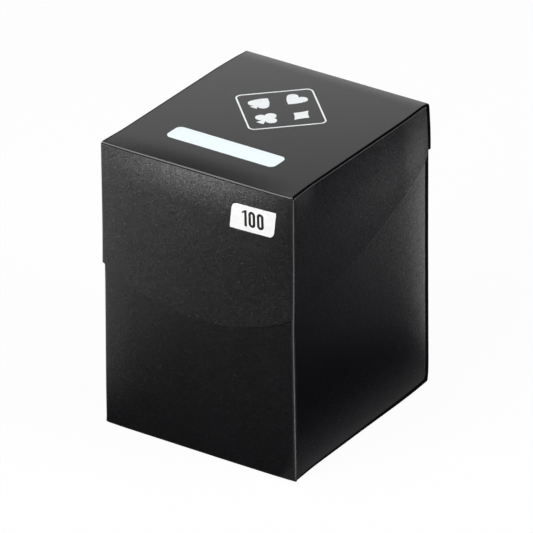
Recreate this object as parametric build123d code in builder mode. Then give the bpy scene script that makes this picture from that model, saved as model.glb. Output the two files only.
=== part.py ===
"""Flip-top deck box for playing cards, folded from scored polypropylene sheet.

The box is one die-cut sheet, folded along its scored lines and welded flap to wall.
Every panel and flap between two scored lines is a piece of its own here, and the one
fold that stays flexible, the hinge across the back, joins the lid hood to the box.

Millimetres.  +Z is up, -Y is the front, the hinge is at +Y.
The origin is the middle of the closed box's footprint, at table height.
"""
import os
from math import cos, radians, sin, sqrt

from build123d import *

# ---------------------------------------------------------------- driving dimensions
sheet = 0.5                     # thickness of the sheet, in every panel and flap
card_room_width = 69.0          # clear width between the side tabs
card_room_depth = 77.6          # clear depth between front wall and back wall
box_height = 99.0               # table to the top of the closed lid
lid_back_height = 16.0          # lid's top down to the middle of the flexible hinge line
lid_gap = 0.1                   # between the box and the lid hood, all round

soft_fold_inside = 0.6          # inside radius where a panel turns into a glued tab
wall_fold_inside = 0.4          # inside radius of the front wall's upright folds
lid_fold_inside = 0.3           # inside radius of the front flap's upright folds
crease_inside = 0.3             # inside radius of the sharp creases along the front
groove_radius = 0.2             # pressed groove along the lid's front crease
hinge_width = 1.2               # height of the thinned strip that bends
hinge_thickness = 0.2           # thickness left in that strip

front_wall_drop = 13.0          # front wall's top edge, below the hinge line
thumb_notch_width = 34.0        # finger notch in that edge
thumb_notch_depth = 9.0
rear_top_clearance = 0.8        # side wall's top rear corner, below the hinge line
wall_back_setback = 3.1         # side wall's cut rear edge, from the back of the box
wall_bottom_setback = 2.3       # side wall's cut lower edge, from the table
wall_corner_radius = 1.5        # rounding of the side wall's lower rear corner
corner_lift = 0.3               # lower end of the upright folds, above the table

wing_back_setback = 3.2         # wing's cut rear edge, from the back of the lid
wing_top_setback = 0.45         # wing's cut upper edge, below the lid's top
hood_front_height = 42.0        # lid's top down to the hood's edge at the front corners
wing_middle_depth = 34.2        # lid's top down to the wing's edge halfway back
wing_trim_run = 2.2             # trimmed lower rear corner of the wing, along Y
wing_trim_rise = 3.2            # and along Z
wing_end_drop = 0.2             # upper end of that trim, below the hinge line
flap_sag = 9.6                  # how far the front flap's edge dips in the middle

tab_reach = 14.0                # glued tabs of the box, from the fold
lid_tab_reach = 11.5            # glued tabs of the lid's top panel, from the fold
rear_tab_reach = 8.0            # glued tabs of the lid's back flap, from the fold
tab_gap = 0.3                   # between two tabs, or a tab and a neighbouring fold
mitre_gap = 0.5                 # across the slanted cut between two tabs

mark_thickness = 0.08           # write-on patch and capacity badge
patch_length = 40.3
patch_width = 7.9
patch_corner = 2.0
patch_left_of_middle = 1.2      # middle of the patch, left of the lid's middle
patch_from_front = 18.6         # middle of the patch, behind the lid's front face
badge_length = 16.2
badge_height = 8.8
badge_lean = 1.2                # sideways lean of the badge over its height
badge_corner = 2.0
badge_turn = 1.4                # degrees that it is stuck on askew, right end up
badge_from_side = 14.9          # middle of the badge, from the lid's right face
badge_below_top = 11.2          # middle of the badge, below the lid's top

# ---------------------------------------------------------------- what follows from them
body_half_width = card_room_width / 2 + 2 * sheet
lid_half_width = body_half_width + lid_gap + sheet
lid_depth = card_room_depth + 2 * sheet + lid_gap + sheet
back = lid_depth / 2
lid_front = -lid_depth / 2
body_front = lid_front + sheet + lid_gap

soft_fold = soft_fold_inside + sheet
wall_fold = wall_fold_inside + sheet
lid_fold = lid_fold_inside + sheet
crease = crease_inside + sheet

# Where the flat stretches of the panels end and their side folds start.
body_flat_half = body_half_width - sheet - soft_fold
lid_flat_half = lid_half_width - sheet - soft_fold

hinge_height = box_height - lid_back_height
hinge_bottom = hinge_height - hinge_width / 2
hinge_top = hinge_height + hinge_width / 2

front_wall_height = hinge_height - front_wall_drop
hood_front_edge = box_height - hood_front_height
flap_lowest = hood_front_edge - flap_sag
wing_trim_top = hinge_height - wing_end_drop

os.makedirs("parts", exist_ok=True)


def write(part: Part, node: str) -> None:
    """Label a finished piece and write it as parts/NODE.step."""
    part.label = node
    export_step(part, f"parts/{node}.step")


def plane_at(origin, along, inward) -> Plane:
    """A sketch plane whose x runs along `along` and whose y runs along `inward`."""
    normal = Vector(*along).cross(Vector(*inward))
    return Plane(origin=origin, x_dir=along, z_dir=normal)


def channel_section(start, end, start_inside, end_inside) -> Sketch:
    """Section of a flat sheet whose two ends are folded up a quarter turn.

    The sheet's outer face lies on the sketch's x axis and the folds turn towards +y.
    """
    start_outside = start_inside + sheet
    end_outside = end_inside + sheet
    with BuildSketch() as section:
        with BuildLine():
            CenterArc((start + start_outside, start_outside), start_outside, 180, 90)
            Line((start + start_outside, 0), (end - end_outside, 0))
            CenterArc((end - end_outside, end_outside), end_outside, 270, 90)
            Line((end, end_outside), (end - sheet, end_outside))
            CenterArc((end - end_outside, end_outside), end_inside, 0, -90)
            Line((end - end_outside, sheet), (start + start_outside, sheet))
            CenterArc((start + start_outside, start_outside), start_inside, 270, -90)
            Line((start + sheet, start_outside), (start, start_outside))
        make_face()
    return section.sketch


def tab_section(reach) -> Sketch:
    """Section of a glued tab: a quarter-turn fold about the origin, then a straight leg.

    The fold starts below the origin, on the panel that carries it, and the leg
    runs up to `reach` along +y, its outer face one fold radius out along x.
    """
    with BuildSketch() as section:
        with BuildLine():
            CenterArc((0, 0), soft_fold, 270, 90)
            Line((soft_fold, 0), (soft_fold, reach))
            Line((soft_fold, reach), (soft_fold_inside, reach))
            Line((soft_fold_inside, reach), (soft_fold_inside, 0))
            CenterArc((0, 0), soft_fold_inside, 0, -90)
            Line((0, -soft_fold_inside), (0, -soft_fold))
        make_face()
    return section.sketch


# ================================================================ box
# ---- front wall: the two upright folds wrap the side walls round from it
wall_flat_half = body_half_width - wall_fold
notch_radius = (thumb_notch_width**2 / 4 + thumb_notch_depth**2) / (2 * thumb_notch_depth)

with BuildPart() as front_wall:
    with BuildSketch(plane_at((0, body_front, corner_lift), (1, 0, 0), (0, 1, 0))):
        add(channel_section(-body_half_width, body_half_width, wall_fold_inside, wall_fold_inside))
    extrude(amount=front_wall_height - corner_lift)
    # The flat stretch stops where the bottom crease starts; only the folds go lower.
    with BuildSketch(Plane.XZ.offset(-body_front)):
        with Locations((0, corner_lift)):
            Rectangle(2 * wall_flat_half, crease - corner_lift, align=(Align.CENTER, Align.MIN))
    extrude(amount=-sheet, mode=Mode.SUBTRACT)
    # Finger notch in the top edge.
    with BuildSketch(Plane.XZ.offset(-body_front)):
        with Locations((0, front_wall_height - thumb_notch_depth + notch_radius)):
            Circle(notch_radius)
    extrude(amount=-sheet, mode=Mode.SUBTRACT)
write(front_wall.part, "front_wall")

# ---- bottom panel: sharp crease up to the front wall, soft fold up to the back wall
with BuildPart() as bottom_panel:
    with BuildSketch(plane_at((0, 0, 0), (0, 1, 0), (0, 0, 1))):
        add(channel_section(body_front, back, crease_inside, soft_fold_inside))
    extrude(amount=wall_flat_half, both=True)
    # Behind the front crease the panel narrows to where its side tabs fold up.
    side_strip = wall_flat_half - body_flat_half
    with BuildSketch(Plane.XY):
        for side in (1, -1):
            with Locations((side * (body_flat_half + side_strip / 2), body_front + crease)):
                Rectangle(side_strip, lid_depth, align=(Align.CENTER, Align.MIN))
    extrude(amount=soft_fold, mode=Mode.SUBTRACT)
write(bottom_panel.part, "bottom_panel")

# ---- back wall, up to the hinge line
with BuildPart() as back_wall:
    with BuildSketch(Plane.XZ.offset(-back)):
        with Locations((0, soft_fold)):
            Rectangle(2 * body_flat_half, hinge_bottom - soft_fold, align=(Align.CENTER, Align.MIN))
    extrude(amount=sheet)
write(back_wall.part, "back_wall")

# ---- flexible hinge: the sheet pressed thin, its outer face flush with the back
with BuildPart() as hinge_crease:
    with BuildSketch(Plane.XZ.offset(-back)):
        with Locations((0, hinge_height)):
            Rectangle(2 * body_flat_half, hinge_width)
    extrude(amount=hinge_thickness)
write(hinge_crease.part, "hinge_crease")

# ---- side walls: folded back from the front wall, outermost at the sides
wall_front_edge = body_front + wall_fold
wall_rear_edge = back - wall_back_setback

with BuildPart() as right_side_wall:
    with BuildSketch(Plane.YZ.offset(body_half_width - sheet)) as wall_outline:
        with BuildLine():
            Polyline(
                (wall_front_edge, corner_lift),
                (wall_front_edge + wall_bottom_setback, wall_bottom_setback),
                (wall_rear_edge, wall_bottom_setback),
                (wall_rear_edge, hinge_height - rear_top_clearance),
                (wall_front_edge, front_wall_height),
                close=True,
            )
        make_face()
        fillet(wall_outline.vertices().group_by(Axis.X)[-1].sort_by(Axis.Y)[0], wall_corner_radius)
    extrude(amount=sheet)
write(right_side_wall.part, "right_side_wall")

with BuildPart() as left_side_wall:
    mirror(right_side_wall.part, about=Plane.YZ)
write(left_side_wall.part, "left_side_wall")

# ---- bottom tabs: turned up from the bottom panel, glued inside the side walls
tab_front_edge = body_front + crease + tab_gap
tab_rear_edge = back - soft_fold - tab_gap

with BuildPart() as bottom_right_tab:
    with BuildSketch(plane_at((body_flat_half, tab_rear_edge, soft_fold), (1, 0, 0), (0, 0, 1))):
        add(tab_section(tab_reach))
    extrude(amount=tab_rear_edge - tab_front_edge)
    # Both ends are cut slanting, the rear one as a mitre against the back tab.
    with BuildSketch(Plane.YZ):
        with BuildLine():
            Polyline(
                (tab_front_edge, 0),
                (tab_front_edge, soft_fold),
                (tab_front_edge + tab_reach / 4, soft_fold + tab_reach),
                (tab_rear_edge - tab_reach, soft_fold + tab_reach),
                (tab_rear_edge, soft_fold),
                (tab_rear_edge, 0),
                close=True,
            )
        make_face()
    extrude(amount=body_half_width, mode=Mode.INTERSECT)
write(bottom_right_tab.part, "bottom_right_tab")

with BuildPart() as bottom_left_tab:
    mirror(bottom_right_tab.part, about=Plane.YZ)
write(bottom_left_tab.part, "bottom_left_tab")

# ---- back tabs: turned forward from the back wall, glued inside the side walls
back_tab_low = soft_fold + tab_gap
back_tab_top = hinge_height - rear_top_clearance

with BuildPart() as back_right_tab:
    with BuildSketch(plane_at((body_flat_half, back - soft_fold, back_tab_top), (1, 0, 0), (0, -1, 0))):
        add(tab_section(tab_reach))
    extrude(amount=back_tab_top - back_tab_low)
    with BuildSketch(Plane.YZ):
        with BuildLine():
            Polyline(
                (back, back_tab_low),
                (back - soft_fold, back_tab_low),
                (back - soft_fold - mitre_gap, back_tab_low + mitre_gap),
                (back - soft_fold - tab_reach, back_tab_low + tab_reach + mitre_gap),
                (back - soft_fold - tab_reach, back_tab_top - tab_reach / 4),
                (back - soft_fold, back_tab_top),
                (back, back_tab_top),
                close=True,
            )
        make_face()
    extrude(amount=body_half_width, mode=Mode.INTERSECT)
write(back_right_tab.part, "back_right_tab")

with BuildPart() as back_left_tab:
    mirror(back_right_tab.part, about=Plane.YZ)
write(back_left_tab.part, "back_left_tab")

# ================================================================ lid hood
# ---- top panel: grooved sharp crease down to the front flap, soft fold at the rear
lid_wall_flat_half = lid_half_width - lid_fold

with BuildPart() as lid_top_panel:
    with BuildSketch(plane_at((0, 0, box_height), (0, 1, 0), (0, 0, -1))):
        add(channel_section(lid_front, back, crease_inside, soft_fold_inside))
    extrude(amount=lid_wall_flat_half, both=True)
    lid_side_strip = lid_wall_flat_half - lid_flat_half
    with BuildSketch(Plane.XY.offset(box_height)):
        for side in (1, -1):
            with Locations((side * (lid_flat_half + lid_side_strip / 2), lid_front + crease)):
                Rectangle(lid_side_strip, lid_depth, align=(Align.CENTER, Align.MIN))
    extrude(amount=-soft_fold, mode=Mode.SUBTRACT)
    # The pressed groove runs along the middle of the rounded edge.
    groove_inset = crease - crease / sqrt(2)
    with BuildSketch(Plane.YZ):
        with Locations((lid_front + groove_inset, box_height - groove_inset)):
            Circle(groove_radius)
    extrude(amount=lid_half_width, both=True, mode=Mode.SUBTRACT)
write(lid_top_panel.part, "lid_top_panel")

# ---- front flap: its lower edge is one shallow arc, its upright folds carry the wings
with BuildPart() as lid_front_flap:
    with BuildSketch(plane_at((0, lid_front, flap_lowest), (1, 0, 0), (0, 1, 0))):
        add(channel_section(-lid_half_width, lid_half_width, lid_fold_inside, lid_fold_inside))
    extrude(amount=box_height - crease - flap_lowest)
    with BuildSketch(Plane.XZ.offset(-lid_front)):
        with BuildLine():
            ThreePointArc(
                (-lid_wall_flat_half, hood_front_edge),
                (0, flap_lowest),
                (lid_wall_flat_half, hood_front_edge),
            )
            Polyline(
                (lid_wall_flat_half, hood_front_edge),
                (lid_half_width, hood_front_edge),
                (lid_half_width, box_height),
                (-lid_half_width, box_height),
                (-lid_half_width, hood_front_edge),
                (-lid_wall_flat_half, hood_front_edge),
            )
        make_face()
    extrude(amount=-lid_fold, mode=Mode.INTERSECT)
write(lid_front_flap.part, "lid_front_flap")

# ---- back flap, from the hinge line up to the rear fold
with BuildPart() as lid_back_flap:
    with BuildSketch(Plane.XZ.offset(-back)):
        with Locations((0, hinge_top)):
            Rectangle(
                2 * lid_flat_half,
                box_height - soft_fold - hinge_top,
                align=(Align.CENTER, Align.MIN),
            )
    extrude(amount=sheet)
write(lid_back_flap.part, "lid_back_flap")

# ---- wings: folded back from the front flap, outermost at the sides
wing_front_edge = lid_front + lid_fold
wing_rear_edge = back - wing_back_setback

with BuildPart() as lid_right_wing:
    with BuildSketch(Plane.YZ.offset(lid_half_width - sheet)):
        with BuildLine():
            ThreePointArc(
                (wing_front_edge, hood_front_edge),
                (0, box_height - wing_middle_depth),
                (wing_rear_edge - wing_trim_run, wing_trim_top - wing_trim_rise),
            )
            Polyline(
                (wing_rear_edge - wing_trim_run, wing_trim_top - wing_trim_rise),
                (wing_rear_edge, wing_trim_top),
                (wing_rear_edge, box_height - wing_top_setback),
                (wing_front_edge + crease, box_height - wing_top_setback),
                (wing_front_edge, box_height - crease),
                (wing_front_edge, hood_front_edge),
            )
        make_face()
    extrude(amount=sheet)
write(lid_right_wing.part, "lid_right_wing")

with BuildPart() as lid_left_wing:
    mirror(lid_right_wing.part, about=Plane.YZ)
write(lid_left_wing.part, "lid_left_wing")

# ---- top tabs: turned down from the top panel, glued inside the wings
lid_tab_front = lid_front + crease + tab_gap
lid_tab_rear = back - soft_fold - tab_gap
lid_tab_root = box_height - soft_fold

with BuildPart() as lid_top_right_tab:
    with BuildSketch(plane_at((lid_flat_half, lid_tab_front, lid_tab_root), (1, 0, 0), (0, 0, -1))):
        add(tab_section(lid_tab_reach))
    extrude(amount=lid_tab_rear - lid_tab_front)
    with BuildSketch(Plane.YZ):
        with BuildLine():
            Polyline(
                (lid_tab_front, box_height),
                (lid_tab_front, lid_tab_root),
                (lid_tab_front + lid_tab_reach / 4, lid_tab_root - lid_tab_reach),
                (lid_tab_rear - lid_tab_reach, lid_tab_root - lid_tab_reach),
                (lid_tab_rear, lid_tab_root),
                (lid_tab_rear, box_height),
                close=True,
            )
        make_face()
    extrude(amount=lid_half_width, mode=Mode.INTERSECT)
write(lid_top_right_tab.part, "lid_top_right_tab")

with BuildPart() as lid_top_left_tab:
    mirror(lid_top_right_tab.part, about=Plane.YZ)
write(lid_top_left_tab.part, "lid_top_left_tab")

# ---- rear tabs: turned forward from the back flap, glued inside the wings
rear_tab_low = hinge_top
rear_tab_top = box_height - soft_fold - tab_gap

with BuildPart() as lid_back_right_tab:
    with BuildSketch(plane_at((lid_flat_half, back - soft_fold, rear_tab_top), (1, 0, 0), (0, -1, 0))):
        add(tab_section(rear_tab_reach))
    extrude(amount=rear_tab_top - rear_tab_low)
    with BuildSketch(Plane.YZ):
        with BuildLine():
            Polyline(
                (back, rear_tab_top),
                (back - soft_fold, rear_tab_top),
                (back - soft_fold - mitre_gap, rear_tab_top - mitre_gap),
                (back - soft_fold - rear_tab_reach, rear_tab_top - rear_tab_reach - mitre_gap),
                (back - soft_fold - rear_tab_reach, rear_tab_low + rear_tab_reach / 8),
                (back - soft_fold, rear_tab_low),
                (back, rear_tab_low),
                close=True,
            )
        make_face()
    extrude(amount=lid_half_width, mode=Mode.INTERSECT)
write(lid_back_right_tab.part, "lid_back_right_tab")

with BuildPart() as lid_back_left_tab:
    mirror(lid_back_right_tab.part, about=Plane.YZ)
write(lid_back_left_tab.part, "lid_back_left_tab")

# ---- write-on patch on the top panel
with BuildPart() as write_on_label:
    with BuildSketch(Plane.XY.offset(box_height)):
        with Locations((-patch_left_of_middle, lid_front + patch_from_front)):
            RectangleRounded(patch_length, patch_width, patch_corner)
    extrude(amount=mark_thickness)
write(write_on_label.part, "write_on_label")

# ---- capacity badge on the front flap: a leaning tag with two rounded corners
badge_middle = (lid_half_width - badge_from_side, lid_front, box_height - badge_below_top)
badge_along = (cos(radians(badge_turn)), 0, sin(radians(badge_turn)))
badge_up = (-sin(radians(badge_turn)), 0, cos(radians(badge_turn)))

with BuildPart() as capacity_badge:
    with BuildSketch(plane_at(badge_middle, badge_along, badge_up)) as badge_outline:
        with BuildLine():
            Polyline(
                ((-badge_length - badge_lean) / 2, -badge_height / 2),
                ((badge_length - badge_lean) / 2, -badge_height / 2),
                ((badge_length + badge_lean) / 2, badge_height / 2),
                ((badge_lean - badge_length) / 2, badge_height / 2),
                close=True,
            )
        make_face()
        lower_corners, upper_corners = badge_outline.vertices().group_by(Axis.Y)
        fillet([lower_corners.sort_by(Axis.X)[-1], upper_corners.sort_by(Axis.X)[0]], badge_corner)
    extrude(amount=mark_thickness)
write(capacity_badge.part, "capacity_badge")
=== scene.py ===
"""Looks of a flip-top deck box for playing cards, built around its packed construction.

The box is one die-cut sheet of black polypropylene.  Every panel, flap and tab is laid
out flat here as a grid, folded along its scored lines, given its thickness and its cut
edges, and then sprung: a folded sheet stands a little prouder in the middle of a panel
than beside its folds, and the sheen of the real box shows that.

Metres.  +Z is up, -Y is the front, the hinge is at +Y.
"""

import logging
import math
from dataclasses import dataclass, field, replace
from enum import Enum
from typing import Any, Callable, Iterable, Optional

import bmesh
import bpy
from mathutils import Matrix, Vector


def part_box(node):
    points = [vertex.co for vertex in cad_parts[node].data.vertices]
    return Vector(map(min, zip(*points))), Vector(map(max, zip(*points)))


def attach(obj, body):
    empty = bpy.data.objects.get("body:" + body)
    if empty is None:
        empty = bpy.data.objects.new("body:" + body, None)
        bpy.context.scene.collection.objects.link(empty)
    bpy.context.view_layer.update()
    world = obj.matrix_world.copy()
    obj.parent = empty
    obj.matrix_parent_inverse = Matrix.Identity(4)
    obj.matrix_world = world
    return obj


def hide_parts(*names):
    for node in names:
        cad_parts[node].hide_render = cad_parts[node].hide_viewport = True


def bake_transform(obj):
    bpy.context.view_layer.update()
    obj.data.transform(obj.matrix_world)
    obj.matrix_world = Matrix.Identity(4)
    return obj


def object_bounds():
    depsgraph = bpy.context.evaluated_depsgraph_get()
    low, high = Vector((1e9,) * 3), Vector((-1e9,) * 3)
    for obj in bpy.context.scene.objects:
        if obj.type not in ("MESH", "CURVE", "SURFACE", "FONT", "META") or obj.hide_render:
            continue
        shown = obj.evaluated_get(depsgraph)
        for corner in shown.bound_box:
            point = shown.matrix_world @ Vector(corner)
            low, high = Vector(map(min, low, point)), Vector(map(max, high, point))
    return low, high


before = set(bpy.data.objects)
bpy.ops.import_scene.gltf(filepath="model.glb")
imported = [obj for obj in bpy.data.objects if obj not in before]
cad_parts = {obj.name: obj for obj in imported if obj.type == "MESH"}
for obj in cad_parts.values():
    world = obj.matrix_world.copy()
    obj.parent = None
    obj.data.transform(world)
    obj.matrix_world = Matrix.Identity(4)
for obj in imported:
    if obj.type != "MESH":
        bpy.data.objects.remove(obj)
CAD_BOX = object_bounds()

LOG = logging.getLogger("deck_box")
MM = 0.001
# A noise pattern spends nearly all of its surface between these two values.
NOISE_LOW, NOISE_HIGH = 0.3, 0.7

Place = Callable[[float, float], Vector]
Edge = Callable[[float], float]


# ---------------------------------------------------------------- small helpers
def stations(start: float, end: float, step: float) -> list[float]:
    """Evenly spaced places from one end to the other.

    Args:
        start: First place.
        end: Last place.
        step: The most that two neighbours may be apart.

    Returns:
        The places, both ends included.
    """
    count = max(1, math.ceil(abs(end - start) / step - 1e-6))
    return [start + (end - start) * i / count for i in range(count + 1)]


def chained(*runs: list[float]) -> list[float]:
    """Joins runs of places into one, with each shared end kept once.

    Args:
        *runs: The runs, in order.

    Returns:
        All the places.
    """
    joined: list[float] = list(runs[0])
    for run in runs[1:]:
        joined.extend(run[1:] if abs(run[0] - joined[-1]) < 1e-9 else run)
    return joined


def mirrored(half: list[float]) -> list[float]:
    """Places on both sides of zero, from the ones on its far side."""
    return [-place for place in reversed(half[1:])] + half


def between(low: float, high: float, share: float) -> float:
    """The value that lies `share` of the way from low to high."""
    return low + (high - low) * share


def ease(share: float) -> float:
    """A share from 0 to 1 with a smooth start and end."""
    share = min(1.0, max(0.0, share))
    return share * share * (3 - 2 * share)


def arc_through(first: Vector, middle: Vector, last: Vector) -> Edge:
    """The lower side of the circle through three points.

    Args:
        first: One end, as a two-dimensional vector.
        middle: A point on the way.
        last: The other end.

    Returns:
        A function from the horizontal coordinate to the height of the arc.
    """
    first_run, last_run = middle - first, last - middle
    matrix = Matrix((first_run, last_run))
    halves = Vector((
        (middle.length_squared - first.length_squared) / 2,
        (last.length_squared - middle.length_squared) / 2,
    ))
    centre = matrix.inverted() @ halves
    radius = (first - centre).length

    def height(along: float) -> float:
        """Height of the arc at one place."""
        return centre.y - math.sqrt(max(radius**2 - (along - centre.x) ** 2, 0.0))

    return height


def line_through(first: Vector, last: Vector) -> Edge:
    """The straight line through two points, as a function like arc_through's."""
    slope = (last.y - first.y) / (last.x - first.x)
    return lambda along: first.y + slope * (along - first.x)


def unit(degrees: float) -> Vector:
    """An arrow of length one in the plane, at an angle from its first axis."""
    return Vector((math.cos(math.radians(degrees)), math.sin(math.radians(degrees))))


def linked(name: str, data: bpy.types.ID) -> bpy.types.Object:
    """Makes an object and puts it in the scene.

    Args:
        name: Name of the object.
        data: Its mesh, curve, light or camera.

    Returns:
        The object, at the origin.
    """
    made = bpy.data.objects.new(name, data)
    bpy.context.scene.collection.objects.link(made)
    return made


# ---------------------------------------------------------------- materials
def linear(hex_code: str) -> tuple[float, float, float, float]:
    """Turns an sRGB colour into the linear one that a shader takes.

    Args:
        hex_code: The colour as "#rrggbb".

    Returns:
        Red, green, blue and an alpha of one.
    """
    parts = [int(hex_code[i:i + 2], 16) / 255 for i in (1, 3, 5)]
    red, green, blue = (
        p / 12.92 if p <= 0.04045 else ((p + 0.055) / 1.055) ** 2.4 for p in parts
    )
    return red, green, blue, 1.0


def add_node(
    tree: bpy.types.NodeTree,
    kind: str,
    sockets: Optional[dict[str, Any]] = None,
    **settings: Any,
) -> bpy.types.Node:
    """Adds a node with its settings, values and links.

    Args:
        tree: The node tree that gets it.
        kind: The node's type, such as ShaderNodeBump.
        sockets: For each input, by name or number, a value or an output to link.
        **settings: Properties of the node itself.

    Returns:
        The new node.
    """
    node = tree.nodes.new(kind)
    for name, value in settings.items():
        setattr(node, name, value)
    for name, value in (sockets or {}).items():
        if isinstance(value, bpy.types.NodeSocket):
            tree.links.new(value, node.inputs[name])
        else:
            node.inputs[name].default_value = value
    return node


def bare_tree(owner: bpy.types.ID) -> bpy.types.NodeTree:
    """Empties the node tree of a new material or world.

    Args:
        owner: The material or world.

    Returns:
        Its node tree, with no node left in it.
    """
    owner.use_nodes = True
    owner.node_tree.nodes.clear()
    return owner.node_tree


def mixed_colour(
    tree: bpy.types.NodeTree, pattern: bpy.types.NodeSocket, first: str, second: str
) -> bpy.types.NodeSocket:
    """Blends two sRGB colours by a noise pattern.

    Args:
        tree: The node tree that gets the nodes.
        pattern: The pattern's output.
        first: Colour where the pattern is low.
        second: Colour where it is high.

    Returns:
        The output with the colour.
    """
    share = add_node(
        tree, "ShaderNodeMapRange", {"Value": pattern, "From Min": NOISE_LOW, "From Max": NOISE_HIGH}
    )
    # The node has inputs for numbers, arrows and colours: 6 and 7, and output 2, are colours.
    mix = add_node(
        tree, "ShaderNodeMix", {0: share.outputs["Result"], 6: linear(first), 7: linear(second)},
        data_type="RGBA",
    )
    return mix.outputs[2]


def per_mm(size_mm: float) -> float:
    """Scale of a pattern whose cells measure size_mm."""
    return 1 / (size_mm * MM)


@dataclass(frozen=True)
class SheetFinish:
    """Black polypropylene sheet, extruded between rollers and then scored and folded.

    The rollers leave a fine sandy grain, so the sheen is broad and slightly speckled.
    Scoring and folding press the grain flat.  A die-cut edge is smooth, and its paler grey
    is painted highlight: the thin line of light that its rounded arris catches.

    Args:
        name: Name of the material.
        colour: The plastic's colour.
        cloud_colour: What it drifts to, patch by patch.
        roughness: Middle roughness of the surface.
        roughness_spread: How far the grain varies it either way.
        grain_mm: Size of a bump of the grain.
        grain_depth_mm: Height of such a bump.
        facet_mm: Size of a facet.
        facet_tilt: How far facets lean, as a share of the surface's own direction.
        cloud_mm: Size of a patch of the drift in tone.
        specular: How strongly it mirrors; half is plain plastic.
        ior: Refractive index of polypropylene.
    """

    name: str
    colour: str
    cloud_colour: str
    roughness: float
    roughness_spread: float
    grain_mm: float
    grain_depth_mm: float
    facet_mm: float = 0.3
    facet_tilt: float = 0.0
    cloud_mm: float = 14.0
    specular: float = 0.5
    ior: float = 1.49

    def material(self) -> bpy.types.Material:
        """Makes the material.

        Returns:
            A node material whose patterns read Object coordinates.
        """
        made = bpy.data.materials.new(self.name)
        tree = bare_tree(made)
        place = add_node(tree, "ShaderNodeTexCoord").outputs["Object"]
        # Slow drift of the tone, from the pigment and from handling.
        cloud = add_node(
            tree, "ShaderNodeTexNoise",
            {"Vector": place, "Scale": per_mm(self.cloud_mm), "Detail": 3.0},
        )
        tone = mixed_colour(tree, cloud.outputs["Fac"], self.colour, self.cloud_colour)
        # The real grain is about 0.15 mm.  This noise and the facets below are drawn
        # coarser, so that they show.
        grain = add_node(
            tree, "ShaderNodeTexNoise",
            {"Vector": place, "Scale": per_mm(self.grain_mm), "Detail": 2.0, "Roughness": 0.6},
        )
        rough = add_node(
            tree, "ShaderNodeMapRange", {
                "Value": grain.outputs["Fac"],
                "From Min": NOISE_LOW,
                "From Max": NOISE_HIGH,
                "To Min": self.roughness - self.roughness_spread,
                "To Max": self.roughness + self.roughness_spread,
            },
        )
        # Each grain of the roller's sand has left a facet that leans its own way.
        facets = add_node(
            tree, "ShaderNodeTexVoronoi", {"Vector": place, "Scale": per_mm(self.facet_mm)}
        )
        lean = facets.outputs["Color"]
        normal = add_node(tree, "ShaderNodeNewGeometry").outputs["Normal"]
        for operation, sockets in (
            ("SUBTRACT", {1: (0.5, 0.5, 0.5)}),
            ("SCALE", {"Scale": self.facet_tilt}),
            ("ADD", {1: normal}),
            ("NORMALIZE", {}),
        ):
            step = add_node(tree, "ShaderNodeVectorMath", {0: lean, **sockets}, operation=operation)
            lean = step.outputs[0]
        bump = add_node(
            tree, "ShaderNodeBump", {
                "Height": grain.outputs["Fac"],
                "Strength": 1.0,
                "Distance": self.grain_depth_mm * MM,
                "Normal": lean,
            },
        )
        shader = add_node(
            tree, "ShaderNodeBsdfPrincipled", {
                "Base Color": tone,
                "Roughness": rough.outputs["Result"],
                "Normal": bump.outputs["Normal"],
                "IOR": self.ior,
                "Specular IOR Level": self.specular,
            },
        )
        add_node(tree, "ShaderNodeOutputMaterial", {"Surface": shader.outputs["BSDF"]})
        return made


@dataclass(frozen=True)
class PrintFinish:
    """Opaque ink or printed film: one even colour with a soft, slightly uneven sheen.

    Args:
        name: Name of the material.
        colour: Its colour.
        shade: What the colour drifts to in the speckle.
        roughness: Roughness of the surface.
        speckle_mm: Size of the speckle.
        depth_mm: Height of the speckle's bumps.
        specular: How strongly it mirrors; half is plain ink.
    """

    name: str
    colour: str
    shade: str
    roughness: float
    speckle_mm: float
    depth_mm: float
    specular: float = 0.5

    def material(self) -> bpy.types.Material:
        """Makes the material.

        Returns:
            A node material whose patterns read Object coordinates.
        """
        made = bpy.data.materials.new(self.name)
        tree = bare_tree(made)
        place = add_node(tree, "ShaderNodeTexCoord").outputs["Object"]
        speckle = add_node(
            tree, "ShaderNodeTexNoise",
            {"Vector": place, "Scale": per_mm(self.speckle_mm), "Detail": 2.0},
        )
        bump = add_node(
            tree, "ShaderNodeBump",
            {"Height": speckle.outputs["Fac"], "Strength": 1.0, "Distance": self.depth_mm * MM},
        )
        shader = add_node(
            tree, "ShaderNodeBsdfPrincipled", {
                "Base Color": mixed_colour(tree, speckle.outputs["Fac"], self.colour, self.shade),
                "Roughness": self.roughness,
                "Normal": bump.outputs["Normal"],
                "Specular IOR Level": self.specular,
            },
        )
        add_node(tree, "ShaderNodeOutputMaterial", {"Surface": shader.outputs["BSDF"]})
        return made


# Extruded polypropylene: near black, with the broad, sandy sheen of its roller grain.
GRAINED_SHEET = SheetFinish(
    name="polypropylene_sheet_grained",
    colour="#050507",
    cloud_colour="#07070a",
    roughness=0.285,
    roughness_spread=0.015,
    grain_mm=0.42,
    grain_depth_mm=0.05,
    facet_mm=0.28,
    facet_tilt=0.12,
)
# The same sheet where fingers hold the box: rubbed, so its sheen is smoother.
HANDLED_SHEET = replace(GRAINED_SHEET, name="polypropylene_sheet_handled_side", facet_tilt=0.065)
# The same sheet after the printing press: ironed, so its sheen is almost even.
PRINTED_SHEET = replace(
    GRAINED_SHEET, name="polypropylene_sheet_printed_side",
    roughness_spread=0.01, grain_depth_mm=0.04, facet_tilt=0.015,
)
# Scored and folded polypropylene: its grain is pressed flat and its black a little milky.
PRESSED_FOLD = SheetFinish(
    name="polypropylene_pressed_fold",
    colour="#121213",
    cloud_colour="#161617",
    roughness=0.36,
    roughness_spread=0.04,
    grain_mm=0.3,
    grain_depth_mm=0.004,
)
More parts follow.
